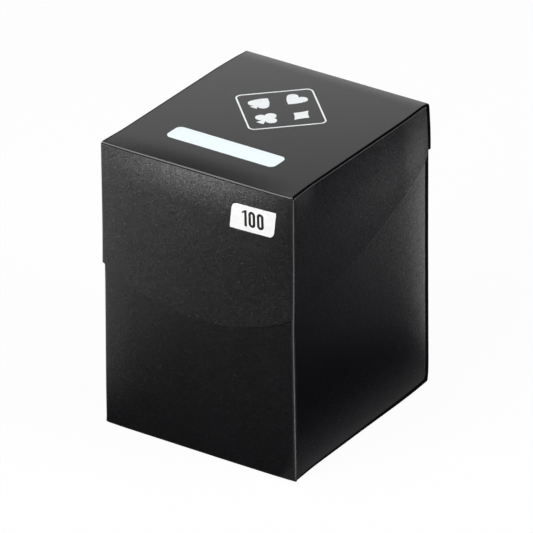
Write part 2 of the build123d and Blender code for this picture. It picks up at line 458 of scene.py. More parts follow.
# Die-cut polypropylene: smooth, and a paler grey that paints the thin highlight its rounded arris
# catches.
CUT_EDGE_PAINTED_HIGHLIGHT = SheetFinish(
    name="polypropylene_cut_edge_painted_highlight",
    colour="#39393b",
    cloud_colour="#414143",
    roughness=0.42,
    roughness_spread=0.05,
    grain_mm=0.2,
    grain_depth_mm=0.004,
    specular=0.3,
)
# The scoring rule's groove: darker than a cut edge and hardly shiny, painted shade on top of the real
# shade in its V.
SCORED_GROOVE_PAINTED_SHADE = replace(
    CUT_EDGE_PAINTED_HIGHLIGHT, name="polypropylene_scored_groove_painted_shade",
    colour="#1e1e20", cloud_colour="#242426", roughness=0.4, specular=0.1,
)
# Tabs and rear corners glued inside, with no sheen at all: painted shade, so that the gap beside a
# wall stays dark.
TAB_SHEET_PAINTED_SHADE = SheetFinish(
    name="polypropylene_tab_painted_shade",
    colour="#060608",
    cloud_colour="#09090b",
    roughness=0.34,
    roughness_spread=0.05,
    grain_mm=0.35,
    grain_depth_mm=0.004,
    specular=0.0,
)
# Screen-printed ink: opaque white with a soft sheen.
WHITE_INK = PrintFinish(
    name="screen_ink_white", colour="#f4f7f8", shade="#e9eef0",
    roughness=0.5, speckle_mm=0.5, depth_mm=0.004,
)
# Screen-printed ink with chalk in it, which takes a pen: matt and faintly blue.
PATCH_INK = PrintFinish(
    name="screen_ink_write_on", colour="#f2fcfe", shade="#eef9fd",
    roughness=0.62, speckle_mm=0.4, depth_mm=0.006,
)
# Cast polyester film: the smoothest and purest white on the box.
BADGE_FILM = PrintFinish(
    name="polyester_film_white", colour="#fbfbfb", shade="#f4f4f4",
    roughness=0.35, speckle_mm=2.0, depth_mm=0.004,
)
# Screen-printed black ink: deep and nearly without sheen.
BADGE_INK = PrintFinish(
    name="screen_ink_black", colour="#060607", shade="#0b0b0c",
    roughness=0.5, speckle_mm=0.4, depth_mm=0.003, specular=0.15,
)


class SheetSkin(Enum):
    """Which finish a quad of a sheet has, as its number among the piece's materials."""

    PANEL = 0
    FOLD = 1
    CUT = 2
    SCORE = 3


Skin = Callable[[float, float], SheetSkin]


def fold_skin(folded: Callable[[float], bool]) -> Skin:
    """Finish of a panel whose folds run along its columns."""
    return lambda column, row: SheetSkin.FOLD if folded(column) else SheetSkin.PANEL


# ---------------------------------------------------------------- folding a sheet
@dataclass(frozen=True)
class Fold:
    """A quarter turn of the sheet, followed by a straight leg."""

    radius: float

    @property
    def run(self) -> float:
        """Length of the bend, along its outer face."""
        return self.radius * math.pi / 2

    def at(self, run: float, lift: float = 0.0) -> tuple[float, float]:
        """Where the outer face has got to.

        Args:
            run: Length along the outer face, from the start of the bend.
            lift: How far outside that face.

        Returns:
            The way made along the old direction and along the new one.
        """
        angle = min(max(run, 0.0) / self.radius, math.pi / 2)
        leg = max(run - self.run, 0.0)
        reach = self.radius + lift
        return min(run, 0.0) + reach * math.sin(angle), self.radius - reach * math.cos(angle) + leg


@dataclass(frozen=True)
class Dip:
    """A panel's fall beside a fold: deepest at the fold and gone where its reach ends."""

    depth: float
    reach: float
    power: float = 2.0

    def at(self, distance: float) -> float:
        """Depth at a distance from the fold."""
        return self.depth * max(0.0, 1 - max(distance, 0.0) / self.reach) ** self.power


@dataclass
class SheetSpring:
    """How the folded sheet springs: panels dip by fractions of a millimetre beside folds.

    Args:
        skin_depth: How far behind a face its dips still reach.
        front_crease: Front's fall under its crease with the top.
        crease_middle: How much that fall keeps to the middle of the box.
        front_sides: Front's fall beside both upright folds.
        front_right: What is added on the right.
        front_floor: Box front's fall above the floor.
        flap_curl: How the flap's cut edge curls out.
        wing_curl: How a wing's cut edge curls out.
        top_crease: Top's fall behind its front crease.
        top_back: Top's fall before its rear fold.
        wing_rear: A wing's fall beside its rear edge.
        wing_top: A wing's and a side wall's fall under the top edge.
        wall_rear: A side wall's fall beside its rear edge.
        wall_floor: A side wall's fall above the floor.
        rear_edge: How far from the back a fold's own share changes into the panel's.
        lid_rear_share: What the lid's rear fold takes of the fall beside it.
        box_rear_share: What the box's rear fold takes of it.
        top_edge: How far from the top its fold's share changes into the panel's.
        top_share: What the top's side folds take of the fall beside them.
        fold_hold: How far from the front the upright folds hold the sides straight.
        base_flare: How far the box's open tube stands out at the floor.
        flare_lead: How much further at the front than in the middle.
        flare_height: How high above the floor that ends.
        corner_spread: How far the front's lowest corners spread beyond that.
        corner_height: How high that reaches.
        corner_reach: How far from a side it reaches.
    """

    skin_depth: float = 12 * MM
    front_crease: Dip = Dip(0.82 * MM, 12.5 * MM, 1.9)
    crease_middle: float = 1.3
    front_sides: Dip = Dip(0.28 * MM, 10.6 * MM)
    front_right: Dip = Dip(0.30 * MM, 30 * MM)
    front_floor: Dip = Dip(0.21 * MM, 18 * MM)
    flap_curl: Dip = Dip(0.34 * MM, 21 * MM)
    wing_curl: Dip = Dip(0.15 * MM, 12 * MM)
    top_crease: Dip = Dip(0.49 * MM, 11.2 * MM)
    top_back: Dip = Dip(0.36 * MM, 5.5 * MM)
    wing_rear: Dip = Dip(0.78 * MM, 16.5 * MM, 1.4)
    wing_top: Dip = Dip(0.62 * MM, 14.5 * MM)
    wall_rear: Dip = Dip(0.89 * MM, 27 * MM, 3.3)
    wall_floor: Dip = Dip(0.52 * MM, 6.5 * MM)
    rear_edge: float = 3.1 * MM
    lid_rear_share: float = 0.33
    box_rear_share: float = 0.82
    top_edge: float = 0.7 * MM
    top_share: float = 0.65
    fold_hold: float = 14 * MM
    base_flare: float = 0.42 * MM
    flare_lead: float = 0.18 * MM
    flare_height: float = 50 * MM
    corner_spread: float = 0.45 * MM
    corner_height: float = 1.1 * MM
    corner_reach: float = 9 * MM

    def __post_init__(self) -> None:
        """Looks up the faces that the dips are measured from."""
        low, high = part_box("lid_top_panel")
        self.front, self.back, self.top, self.side = low.y, high.y, high.z, CAD_BOX[1].x

    def moved(self, point: Vector, body: str) -> Vector:
        """Where a point of the unsprung closed box goes.

        Args:
            point: The point, in the shared frame.
            body: Body that the point belongs to.

        Returns:
            The same point of the sprung box.
        """
        lid = body == "lid"
        to_front, to_back = point.y - self.front, self.back - point.y
        to_top, to_side = self.top - point.z, self.side - abs(point.x)
        across = max(0.0, 1 - (point.x / self.side) ** 2)
        near_front = ease(1 - to_front / self.skin_depth)
        near_top = ease(1 - to_top / self.skin_depth)
        near_side = ease(1 - to_side / self.skin_depth)
        front = self.front_crease.at(to_top) * across ** self.crease_middle
        front += self.front_sides.at(to_side) + self.front_right.at(self.side - point.x)
        top = self.top_crease.at(to_front) * across + self.top_back.at(to_back)
        held = ease(to_front / self.fold_hold)
        # A fold gives way less than the cut edge that is glued beside it.
        off_fold = ease(to_back / self.rear_edge)
        off_top = between(self.top_share, 1.0, ease(to_top / self.top_edge))
        flank = self.wing_rear.at(to_back) * between(self.lid_rear_share, 1.0, off_fold)
        flank += self.wing_top.at(to_top) * held * off_top
        outward = 0.0
        if lid:
            front += self.flap_curl.depth
            flank += self.wing_curl.depth
        else:
            front += self.front_floor.at(point.z)
            flank = self.wall_rear.at(to_back) * between(self.box_rear_share, 1.0, off_fold)
            flank += (self.wall_floor.at(point.z) + self.wing_top.at(to_top)) * held
            lead = -point.y / self.back
            flare = max(0.0, 1 - point.z / self.flare_height)
            corner = self.corner_spread * max(0.0, 1 - point.z / self.corner_height)
            corner *= ease(1 - to_side / self.corner_reach)
            outward = (self.base_flare + self.flare_lead * lead) * flare
            outward += corner * max(0.0, lead)
            outward *= point.x / self.side
        inward = -math.copysign(flank, point.x)
        return point + Vector((near_side * inward + outward, near_front * front, -near_top * top))


class Side(Enum):
    """The four edges of a laid-out sheet, in its own rows and columns."""

    FIRST_COLUMN = "first column"
    LAST_COLUMN = "last column"
    FIRST_ROW = "first row"
    LAST_ROW = "last row"


@dataclass
class SheetPiece:
    """One piece of the sheet, laid out as a grid and then folded.

    Args:
        name: Name of the piece, which is its node's name with "_sheet" added.
        columns: Places of the grid's columns.
        rows: Places of its rows.
        place: Where the outer face of a column and row goes.
        outward: Rough direction that the outer face looks in.
        cut: The edges that the die has cut; the others run on into a neighbour.
        skin: Which finish the quad around a column and row has.
        groove: How deep the outer face alone is pressed in along a column.
        finishes: Materials in the order of SheetSkin.
        thickness: How thick the sheet is.
        edge_bevel: How much the blade has rounded the cut edges.
    """

    name: str
    columns: list[float]
    rows: list[float]
    place: Place
    outward: Vector
    cut: tuple[Side, ...] = ()
    skin: Skin = lambda column, row: SheetSkin.PANEL
    groove: Callable[[float], float] = lambda column: 0.0
    finishes: tuple[bpy.types.Material, ...] = ()
    thickness: float = 0.5 * MM
    edge_bevel: float = 0.1 * MM

    def build(self, spring: SheetSpring, body: str) -> bpy.types.Object:
        """Lays out, folds, thickens and springs the piece.

        Args:
            spring: How the finished box springs.
            body: The body whose spring it shares.

        Returns:
            The piece's object, at the origin.
        """
        mesh = bmesh.new()
        last_column, last_row = len(self.columns) - 1, len(self.rows) - 1
        bmesh.ops.create_grid(mesh, x_segments=last_column, y_segments=last_row, size=0.5)
        at = {
            vert: (round((vert.co.x + 0.5) * last_column), round((vert.co.y + 0.5) * last_row))
            for vert in mesh.verts
        }
        edges_of = {
            Side.FIRST_COLUMN: lambda c, r: c == 0,
            Side.LAST_COLUMN: lambda c, r: c == last_column,
            Side.FIRST_ROW: lambda c, r: r == 0,
            Side.LAST_ROW: lambda c, r: r == last_row,
        }
        for edge in mesh.edges:
            edge.seam = any(all(edges_of[s](*at[v]) for v in edge.verts) for s in self.cut)
        for face in mesh.faces:
            column = sum(self.columns[at[v][0]] for v in face.verts) / 4
            row = sum(self.rows[at[v][1]] for v in face.verts) / 4
            face.material_index = self.skin(column, row).value
        for vert, (column, row) in at.items():
            vert.co = self.place(self.columns[column], self.rows[row])
        mesh.normal_update()
        if sum((f.normal * f.calc_area() for f in mesh.faces), Vector()).dot(self.outward) < 0:
            bmesh.ops.reverse_faces(mesh, faces=mesh.faces[:])
            mesh.normal_update()
        outer = set(mesh.faces)
        pressed_in = {
            vert: vert.normal * self.groove(self.columns[column]) for vert, (column, _) in at.items()
        }
        inner = bmesh.ops.solidify(mesh, geom=mesh.faces[:], thickness=self.thickness)
        skins = outer | {g for g in inner["geom"] if isinstance(g, bmesh.types.BMFace)}
        for face in mesh.faces:
            if face not in skins:
                face.material_index = SheetSkin.CUT.value
        bmesh.ops.bevel(
            mesh, geom=[e for e in mesh.edges if e.seam], offset=self.edge_bevel,
            offset_type="OFFSET", segments=2, profile=0.5, affect="EDGES", material=-1,
        )
        for vert, depth in pressed_in.items():
            if vert.is_valid:
                vert.co -= depth
        for vert in mesh.verts:
            vert.co = spring.moved(vert.co, body)
        return finished(self.name, mesh, self.finishes)


def finished(
    name: str,
    mesh: bmesh.types.BMesh,
    finishes: Iterable[bpy.types.Material],
    sharp_degrees: float = 15.0,
) -> bpy.types.Object:
    """Turns a bmesh into a shaded object at the origin.

    Args:
        name: Name of the object and its mesh.
        mesh: The bmesh, which is freed.
        finishes: Materials, in the order of the faces' numbers.
        sharp_degrees: Edges that turn by more than this stay crisp.

    Returns:
        The new object, linked to the scene.
    """
    data = bpy.data.meshes.new(name)
    for face in mesh.faces:
        face.smooth = True
    mesh.to_mesh(data)
    mesh.free()
    data.set_sharp_from_angle(angle=math.radians(sharp_degrees))
    for material in finishes:
        data.materials.append(material)
    return linked(name, data)


def settle(piece: bpy.types.Object, body: str, slot: str, *nodes: str) -> None:
    """Attaches a finished piece to its body and hides the construction nodes that it stands for.

    Args:
        piece: The piece.
        body: The body that it rides on.
        slot: Not used.
        *nodes: Construction nodes that it replaces.
    """
    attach(piece, body)
    if nodes:
        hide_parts(*nodes)
    LOG.info("%s: %d faces, rides on %s", piece.name, len(piece.data.polygons), body)


@dataclass(frozen=True)
class LevelCourse:
    """Course of the top or the bottom: a sharp front crease, a flat and a soft rear fold.

    Args:
        crease: The front crease.
        rear_fold: The rear fold.
        front: Where the front's outer face is.
        back: Where the back's outer face is.
        level: Height of the panel's outer face.
        inward: One where the inside is above the panel, minus one where it is below.
    """

    crease: Fold
    rear_fold: Fold
    front: float
    back: float
    level: float
    inward: float

    @property
    def rear_start(self) -> float:
        """Run at which the rear fold begins."""
        flat = (self.back - self.rear_fold.radius) - (self.front + self.crease.radius)
        return self.crease.run + flat

    def at(self, run: float) -> tuple[float, float]:
        """Where the outer face has got to.

        Args:
            run: Length along the outer face, from the front.

        Returns:
            How far back it is, and how high.
        """
        if run < self.crease.run:
            way, back = self.crease.at(run)
            return self.front + back, self.level + self.inward * (self.crease.radius - way)
        back, way = self.rear_fold.at(run - self.rear_start)
        return self.back - self.rear_fold.radius + back, self.level + self.inward * way

    def folded(self, run: float) -> bool:
        """Whether a run lies in one of the two bends."""
        return run < self.crease.run or run > self.rear_start


@dataclass
class SheetShop:
    """What every piece of the sheet shares: the stock, its folds, finishes and spring.

    Args:
        thickness: How thick the sheet is.
        step: Spacing of the grid's lines on a flat.
        fold_steps: Faces across one bend.
        crease: The sharp creases at the front of the top and the bottom.
        soft_fold: The rear folds, and the folds of the tabs there.
        settle_run: How soon a piece reaches its full width beside a crease.
        mitre_gap: Gap between two tabs that meet at a corner.
        hinge_gap: Gap between a tab's end and the hinge line.
        corner_lean: How far a rounded corner leans; short of a right angle, where its
            last row would shrink to a point.
        spring: How the folded sheet springs.
        panel_finishes: Materials of the front, the back and the bottom.
        side_finishes: Materials of the side walls and wings.
        top_finishes: Materials of the top.
        tab_finishes: Materials of the tabs and the rear corners, whose missing sheen paints the shade
            in the gap beside a wall.
    """

    thickness: float = 0.5 * MM
    step: float = 1.5 * MM
    fold_steps: int = 10
    crease: Fold = Fold(0.8 * MM)
    soft_fold: Fold = Fold(1.1 * MM)
    settle_run: float = 0.3 * MM
    mitre_gap: float = 0.5 * MM
    hinge_gap: float = 0.15 * MM
    corner_lean: float = math.radians(89.0)
    spring: SheetSpring = field(default_factory=SheetSpring)
    panel_finishes: tuple[bpy.types.Material, ...] = ()
    side_finishes: tuple[bpy.types.Material, ...] = ()
    top_finishes: tuple[bpy.types.Material, ...] = ()
    tab_finishes: tuple[bpy.types.Material, ...] = ()

    def __post_init__(self) -> None:
        """Makes the finishes once, for all pieces."""
        # Cut edges: a paler grey that is painted highlight.
        cut = CUT_EDGE_PAINTED_HIGHLIGHT.material()
        self.panel_finishes = (GRAINED_SHEET.material(), PRESSED_FOLD.material(), cut)
        fold_and_cut = self.panel_finishes[1:]
        self.side_finishes = (HANDLED_SHEET.material(), *fold_and_cut)
        # The top's scored groove is hardly shiny: painted shade.
        self.top_finishes = (PRINTED_SHEET.material(), *fold_and_cut, SCORED_GROOVE_PAINTED_SHADE.material())
        # The tabs and rear corners get the sheet without sheen: painted shade.
        self.tab_finishes = (TAB_SHEET_PAINTED_SHADE.material(),) * 3

    def bend(self, start: float, fold: Fold) -> list[float]:
        """Places of the grid lines across one bend."""
        return stations(start, start + fold.run, fold.run / self.fold_steps)

    def level(self, node: str, inward: float) -> LevelCourse:
        """Course of the top, with inward -1, or of the bottom, with inward 1."""
        low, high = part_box(node)
        height = low.z if inward > 0 else high.z
        return LevelCourse(self.crease, self.soft_fold, low.y, high.y, height, inward)

    def mitred(self, place: float, way: float) -> Edge:
        """A tab's end that is cut at 45 degrees, because another tab meets it there."""
        return lambda height: place + way * (height + min(height, self.mitre_gap / 2))

    def slanted(self, place: float, way: float, slant: float = 0.25) -> Edge:
        """A tab's free end, cut at a slant so that it slides in easily."""
        return lambda height: place + way * slant * height

    def make(self, body: str, node: str, **facts: Any) -> bpy.types.Object:
        """Builds one piece and settles it.

        Args:
            body: The body that it rides on.
            node: The construction node that it replaces.
            **facts: What SheetPiece takes.

        Returns:
            The piece.
        """
        is_tab = node.endswith("_tab")
        facts.setdefault("finishes", self.tab_finishes if is_tab else self.panel_finishes)
        layout = SheetPiece(name=f"{node}_sheet", thickness=self.thickness, **facts)
        piece = layout.build(self.spring, body)
        settle(piece, body, "tab_sheet" if is_tab else "panel_sheet", node)
        return piece

    def tab(
        self,
        body: str,
        node: str,
        root: Vector,
        up: Vector,
        fold: Fold,
        ends: tuple[Edge, Edge],
        reach: float,
    ) -> bpy.types.Object:
        """Makes a glued tab: a bend about its root, then a leg against a side.

        Args:
            body: The body that it rides on.
            node: The construction node that it replaces.
            root: A point on the line where the bend starts, on the outer face.
            up: Direction that the leg runs in.
            fold: The bend.
            ends: Where the tab's two ends are, as functions of the leg's height.
            reach: Length of the leg.

        Returns:
            The piece.
        """
        out = Vector((math.copysign(1.0, root.x), 0, 0))
        along = Vector((0, abs(up.z), abs(up.y)))

        def place(run: float, share: float) -> Vector:
            """Finds a point of the outer face.

            Args:
                run: Length across the fold.
                share: Share of the way along it.

            Returns:
                The point.
            """
            way_out, way_up = fold.at(run)
            height = max(way_up - fold.radius, 0.0)
            start, end = ends[0](height), ends[1](height)
            return root + out * way_out + up * way_up + along * between(start, end, share)

        length = abs(ends[1](0.0) - ends[0](0.0))
        leg = stations(fold.run, fold.run + reach, 2 * self.step)
        return self.make(
            body, node,
            columns=chained(self.bend(0.0, fold), leg),
            rows=stations(0.0, 1.0, 2 * self.step / length),
            place=place, outward=out - up, cut=(Side.LAST_COLUMN, Side.FIRST_ROW, Side.LAST_ROW),
        )

    def corner(
        self, body: str, name: str, middle: Vector, side_fold: Fold, up: float
    ) -> bpy.types.Object:
        """Makes the rounded corner where a rear fold runs into the bends of two tabs.

        Args:
            body: The body that it rides on.
            name: Name of the piece.
            middle: Where the back's flat ends: beside the tab's bend, and at the rear fold.
            side_fold: Bend of the tab that lies flat.
            up: One for a corner at the top, minus one for a corner at the floor.

        Returns:
            The piece.
        """
        quarter = math.pi / 2
        side = math.copysign(1.0, middle.x)
        rear = self.soft_fold.radius
        wall = abs(middle.x) + rear

        def place(turn: float, lean: float) -> Vector:
            """Finds a point of the outer face.

            Args:
                turn: Angle from flat to upright.
                lean: Angle out to the side.

            Returns:
                The point.
            """
            share = ease(turn / quarter)
            start = wall - between(side_fold.radius, rear, share)
            centre = middle.z + up * (rear - side_fold.radius) * (1 - share)
            rise = middle.z + up * rear * math.cos(turn) - centre
            return Vector((
                side * (start + (wall - start) * math.sin(lean)),
                middle.y - rear * (1 - math.sin(turn) * math.cos(lean)),
                centre + rise * math.cos(lean),
            ))

        turns = stations(0.0, quarter, quarter / self.fold_steps)
        layout = SheetPiece(
            name=name, columns=turns, rows=turns[:-1] + [self.corner_lean], place=place,
            outward=Vector((side, 1, up)), finishes=self.tab_finishes, thickness=self.thickness,
        )
        piece = layout.build(self.spring, body)
        settle(piece, body, "tab_sheet")
        return piece


RIGHT_AND_LEFT = (("right", 1.0), ("left", -1.0))
UPWARDS, DOWNWARDS, FORWARDS = Vector((0, 0, 1)), Vector((0, 0, -1)), Vector((0, -1, 0))


def hinge_line() -> float:
    """Height of the line that the lid turns about."""
    low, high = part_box("hinge_crease")
    return (low.z + high.z) / 2


@dataclass
class BoxShell:
    """The open box: front wall with its upright folds, side walls, bottom, back and tabs.

    Args:
        shop: What all pieces share.
        wall_fold: The front wall's upright folds.
        notch_width: Width of the thumb notch.
        notch_depth: Its depth.
        slant_run: Length of the slant at the front of a side wall's lower edge.
        slant_step: Spacing of the grid's lines there.
        wall_corner_radius: Rounding of a side wall's lower rear corner.
        corner_step: Spacing of the grid's lines there.
        edge_front: Height of a side wall's lower edge behind the slant.
        edge_rear: Its height at the back.
        rear_trim: How much the blade has taken off a side wall's rear edge.
        lap_rise: How much higher than the front wall its upright folds end.
        tab_reach: Length of the tabs' legs.
    """

    shop: SheetShop
    wall_fold: Fold = Fold(0.9 * MM)
    notch_width: float = 34 * MM
    notch_depth: float = 9 * MM
    slant_run: float = 1.5 * MM
    slant_step: float = 0.6 * MM
    wall_corner_radius: float = 1.5 * MM
    corner_step: float = 0.15 * MM
    edge_front: float = 1.5 * MM
    edge_rear: float = 2.8 * MM
    rear_trim: float = 0.5 * MM
    lap_rise: float = 0.8 * MM
    tab_reach: float = 14 * MM

    def build(self) -> None:
        """Makes every piece of the box."""
        self.front_wall()
        self.bottom_panel()
        self.back_wall()
        low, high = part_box("back_wall")
        for name, side in RIGHT_AND_LEFT:
            self.side_wall(name, side)
            self.tabs(name, side)
            middle = Vector((side * high.x, high.y, low.z))
            self.shop.corner("box", f"box_rear_{name}_corner", middle, self.shop.soft_fold, -1.0)

    def tab_line(self) -> float:
        """Half the width between the fold lines of the side tabs."""
        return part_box("back_wall")[1].x

    def front_wall(self) -> None:
        """Makes the front wall, its two upright folds and its thumb notch."""
        low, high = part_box("front_wall")
        flat_half = high.x - self.wall_fold.radius
        lap = flat_half + self.wall_fold.run
        notch_edge = self.notch_width / 2
        notch = arc_through(
            Vector((-notch_edge, high.z)),
            Vector((0.0, high.z - self.notch_depth)),
            Vector((notch_edge, high.z)),
        )
        crease_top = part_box("bottom_panel")[0].z + self.shop.crease.radius

        def place(run: float, share: float) -> Vector:
            """Finds a point of the outer face, which is folded round at both ends.

            Args:
                run: Length from the middle.
                share: Share of the way up.

            Returns:
                The point.
            """
            past = abs(run) - flat_half
            along, inward = self.wall_fold.at(past)
            top = notch(run) if abs(run) < notch_edge else high.z
            floor = between(crease_top, low.z, ease(past / self.shop.settle_run))
            floor += self.lap_rise * ease(past / self.wall_fold.run)
            return Vector((
                math.copysign(flat_half + along, run), low.y + inward, between(floor, top, share)
            ))

        half = chained(
            stations(0.0, notch_edge, self.shop.step),
            stations(notch_edge, flat_half, self.shop.step),
            self.shop.bend(flat_half, self.wall_fold),
        )
        self.shop.make(
            "box", "front_wall",
            columns=mirrored(half),
            rows=stations(0.0, 1.0, self.shop.step / (high.z - low.z)),
            place=place, outward=FORWARDS, cut=(Side.LAST_ROW,),
            skin=fold_skin(lambda column: flat_half < abs(column) < lap),
        )

    def bottom_panel(self) -> None:
        """Makes the bottom, from the sharp front crease to the soft rear fold."""
        course = self.shop.level("bottom_panel", 1.0)
        front_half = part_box("bottom_panel")[1].x
        fold_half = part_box("front_wall")[1].x - self.wall_fold.radius
        rear_half = front_half - (fold_half - self.tab_line())

        def place(run: float, share: float) -> Vector:
            """Finds a point of the outer face.

            Args:
                run: Length from the front wall down, back and up.
                share: Share of the way from left to right.

            Returns:
                The point.
            """
            narrowing = ease((run - course.crease.run) / self.shop.settle_run)
            half = between(front_half, rear_half, narrowing)
            return Vector((between(-half, half, share), *course.at(run)))

        self.shop.make(
            "box", "bottom_panel",
            columns=chained(
                self.shop.bend(0.0, course.crease),
                stations(course.crease.run, course.rear_start, 2 * self.shop.step),
                self.shop.bend(course.rear_start, course.rear_fold),
            ),
            rows=stations(0.0, 1.0, self.shop.step / front_half),
            place=place, outward=DOWNWARDS, skin=fold_skin(course.folded),
        )

    def back_wall(self) -> None:
        """Makes the back wall, up to the hinge line."""
        low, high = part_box("back_wall")
        self.shop.make(
            "box", "back_wall",
            columns=stations(low.x, high.x, 2 * self.shop.step),
            rows=stations(low.z, high.z, 2 * self.shop.step),
            place=lambda column, row: Vector((column, high.y, row)), outward=-FORWARDS,
        )

    def side_wall(self, name: str, side: float) -> None:
        """Makes one side wall, glued over the tabs, with its cut edges set back.

        Args:
            name: Right or left.
            side: One for the right, minus one for the left.
        """
        node = f"{name}_side_wall"
        low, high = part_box(node)
        outer = max(abs(low.x), abs(high.x)) * side
        front_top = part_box("front_wall")[1].z
        slant_end, rear = low.y + self.slant_run, high.y - self.rear_trim
        front_foot = Vector((slant_end, low.z + self.edge_front))
        slant = line_through(Vector((low.y, low.z + self.lap_rise)), front_foot)
        edge = line_through(front_foot, Vector((rear, low.z + self.edge_rear)))
        top = line_through(Vector((low.y, front_top)), Vector((rear, high.z)))
        radius = self.wall_corner_radius

        def bottom(along: float) -> float:
            """Finds the cut lower edge.

            Args:
                along: Place from the front to the back.

            Returns:
                Height of the edge there.
            """
            if along < slant_end:
                return slant(along)
            into = max(along - (rear - radius), 0.0)
            return edge(along) + radius - math.sqrt(max(radius**2 - into**2, 0.0))

        self.shop.make(
            "box", node,
            columns=chained(
                stations(low.y, slant_end, self.slant_step),
                stations(slant_end, rear - radius, self.shop.step),
                stations(rear - radius, rear, self.corner_step),
            ),
            rows=stations(0.0, 1.0, self.shop.step / (high.z - low.z)),
            place=lambda y, share: Vector((outer, y, between(bottom(y), top(y), share))),
            outward=Vector((side, 0, 0)), cut=(Side.LAST_COLUMN, Side.FIRST_ROW, Side.LAST_ROW),
            finishes=self.shop.side_finishes,
        )

    def tabs(self, name: str, side: float) -> None:
        """Makes the bottom's and the back's tab on one side, glued inside the side wall.

        Args:
            name: Right or left.
            side: One for the right, minus one for the left.
        """
        shop, line = self.shop, side * self.tab_line()
        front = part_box(f"bottom_{name}_tab")[0]
        low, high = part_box("back_wall")
        shop.tab(
            "box", f"bottom_{name}_tab", Vector((line, 0, front.z)), UPWARDS, shop.soft_fold,
            (shop.slanted(front.y, 1.0), shop.mitred(high.y - shop.soft_fold.radius, -1.0)),
            self.tab_reach,
        )
        shop.tab(
            "box", f"back_{name}_tab", Vector((line, high.y, 0)), FORWARDS, shop.soft_fold,
            (shop.mitred(low.z, 1.0), shop.slanted(hinge_line() - shop.hinge_gap, -1.0)),
            self.tab_reach,
        )


@dataclass
class LidHood:
    """The lid: top panel, front flap with its upright folds, wings, back flap and tabs.

    Args:
        shop: What all pieces share.
        lid_fold: The front flap's upright folds.
        top_fold: Folds of the top's tabs.
        groove_turn: How far round the front crease its scored groove is.
        groove_width: Width of that groove.
        groove_depth: Its depth.
        groove_step: Spacing of the grid's lines across it.
        arch_step: Spacing of the grid's rows above an arched edge.
        wing_middle_height: Height of a wing's arched edge at the middle of the box.
        wing_rear_reach: How far behind the flap's flat a wing's rear edge was cut.
        wing_trim_run: Length of the trimmed corner at the hinge, from front to back.
        wing_trim_rise: Its height.
        wing_trim_top: Height of its upper end.
        crease_step: Spacing of a wing's columns beside the front crease.
        trim_step: Their spacing at the trimmed corner.
        tab_reach: Length of the top tabs' legs.
        rear_tab_reach: Length of the rear tabs' legs.
        rear_tab_slant: Slant of a rear tab's free end.
    """

    shop: SheetShop
    lid_fold: Fold = Fold(0.8 * MM)
    top_fold: Fold = Fold(0.7 * MM)
    groove_turn: float = math.radians(20)
    groove_width: float = 0.4 * MM
    groove_depth: float = 0.26 * MM
    groove_step: float = 0.1 * MM
    arch_step: float = 1.2 * MM
    wing_middle_height: float = 64.8 * MM
    wing_rear_reach: float = 0.5 * MM
    wing_trim_run: float = 2.2 * MM
    wing_trim_rise: float = 3.2 * MM
    wing_trim_top: float = 82.8 * MM
    crease_step: float = 0.4 * MM
    trim_step: float = 0.5 * MM
    tab_reach: float = 11.5 * MM
    rear_tab_reach: float = 8 * MM
    rear_tab_slant: float = 0.125

    def build(self) -> None:
        """Makes every piece of the lid."""
        self.top_panel()
        self.front_flap()
        self.back_flap()
        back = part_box("lid_back_flap")[1]
        for name, side in RIGHT_AND_LEFT:
            self.wing(name, side)
            self.tabs(name, side)
            middle = Vector((side * back.x, back.y, back.z))
            self.shop.corner("lid", f"lid_rear_{name}_corner", middle, self.top_fold, 1.0)

    def tab_line(self) -> float:
        """Half the width between the fold lines of the rear tabs."""
        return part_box("lid_back_flap")[1].x

    def top_line(self) -> float:
        """Half the width between the fold lines of the top tabs."""
        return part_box("lid_right_wing")[0].x - self.top_fold.radius

    def top_panel(self) -> None:
        """Makes the top, with the groove that is pressed along its front crease."""
        course = self.shop.level("lid_top_panel", -1.0)
        front_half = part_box("lid_top_panel")[1].x
        crease_end, rear_start = course.crease.run, course.rear_start
        settled = crease_end + self.shop.settle_run
        middle, half_width = course.crease.radius * self.groove_turn, self.groove_width / 2

        def groove(run: float) -> float:
            """Depth of the scored groove."""
            return self.groove_depth * max(0.0, 1 - abs(run - middle) / half_width)

        def skin(run: float, share: float) -> SheetSkin:
            """Finish across the crease, the panel and the rear fold."""
            off_groove = SheetSkin.FOLD if course.folded(run) else SheetSkin.PANEL
            return SheetSkin.SCORE if abs(run - middle) < half_width else off_groove

        def place(run: float, share: float) -> Vector:
            """Finds a point of the outer face.

            Args:
                run: Length from the front flap up, back and down.
                share: Share of the way from left to right.

            Returns:
                The point.
            """
            to_back = ease((run - rear_start) / course.rear_fold.run)
            fold_half = between(self.top_line(), self.tab_line(), to_back)
            narrowing = ease((run - crease_end) / self.shop.settle_run)
            half = between(front_half, fold_half, narrowing)
            return Vector((between(-half, half, share), *course.at(run)))

        fine = self.groove_step
        self.shop.make(
            "lid", "lid_top_panel",
            columns=chained(
                stations(0.0, middle - half_width, fine),
                stations(middle - half_width, middle, fine),
                stations(middle, middle + half_width, fine),
                stations(middle + half_width, settled, fine),
                stations(settled, rear_start, self.shop.step),
                self.shop.bend(rear_start, course.rear_fold),
            ),
            rows=stations(0.0, 1.0, self.shop.step / (2 * front_half)),
            place=place, outward=UPWARDS,
            skin=skin, groove=groove, finishes=self.shop.top_finishes,
        )

    def front_flap(self) -> None:
        """Makes the front flap: an arched lower edge and two upright folds."""
        low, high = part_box("lid_front_flap")
        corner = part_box("lid_right_wing")[0].z
        flat_half = high.x - self.lid_fold.radius
        edge = arc_through(
            Vector((-flat_half, corner)), Vector((0.0, low.z)), Vector((flat_half, corner))
        )

        def place(run: float, share: float) -> Vector:
            """Finds a point of the outer face, which is folded round at both ends.

            Args:
                run: Length from the middle.
                share: Share of the way up.

            Returns:
                The point.
            """
            along, inward = self.lid_fold.at(abs(run) - flat_half)
            bottom = edge(run) if abs(run) < flat_half else corner
            height = between(bottom, high.z, share)
            out = self.shop.spring.flap_curl.at(height - bottom)
            return Vector((math.copysign(flat_half + along, run), low.y + inward - out, height))

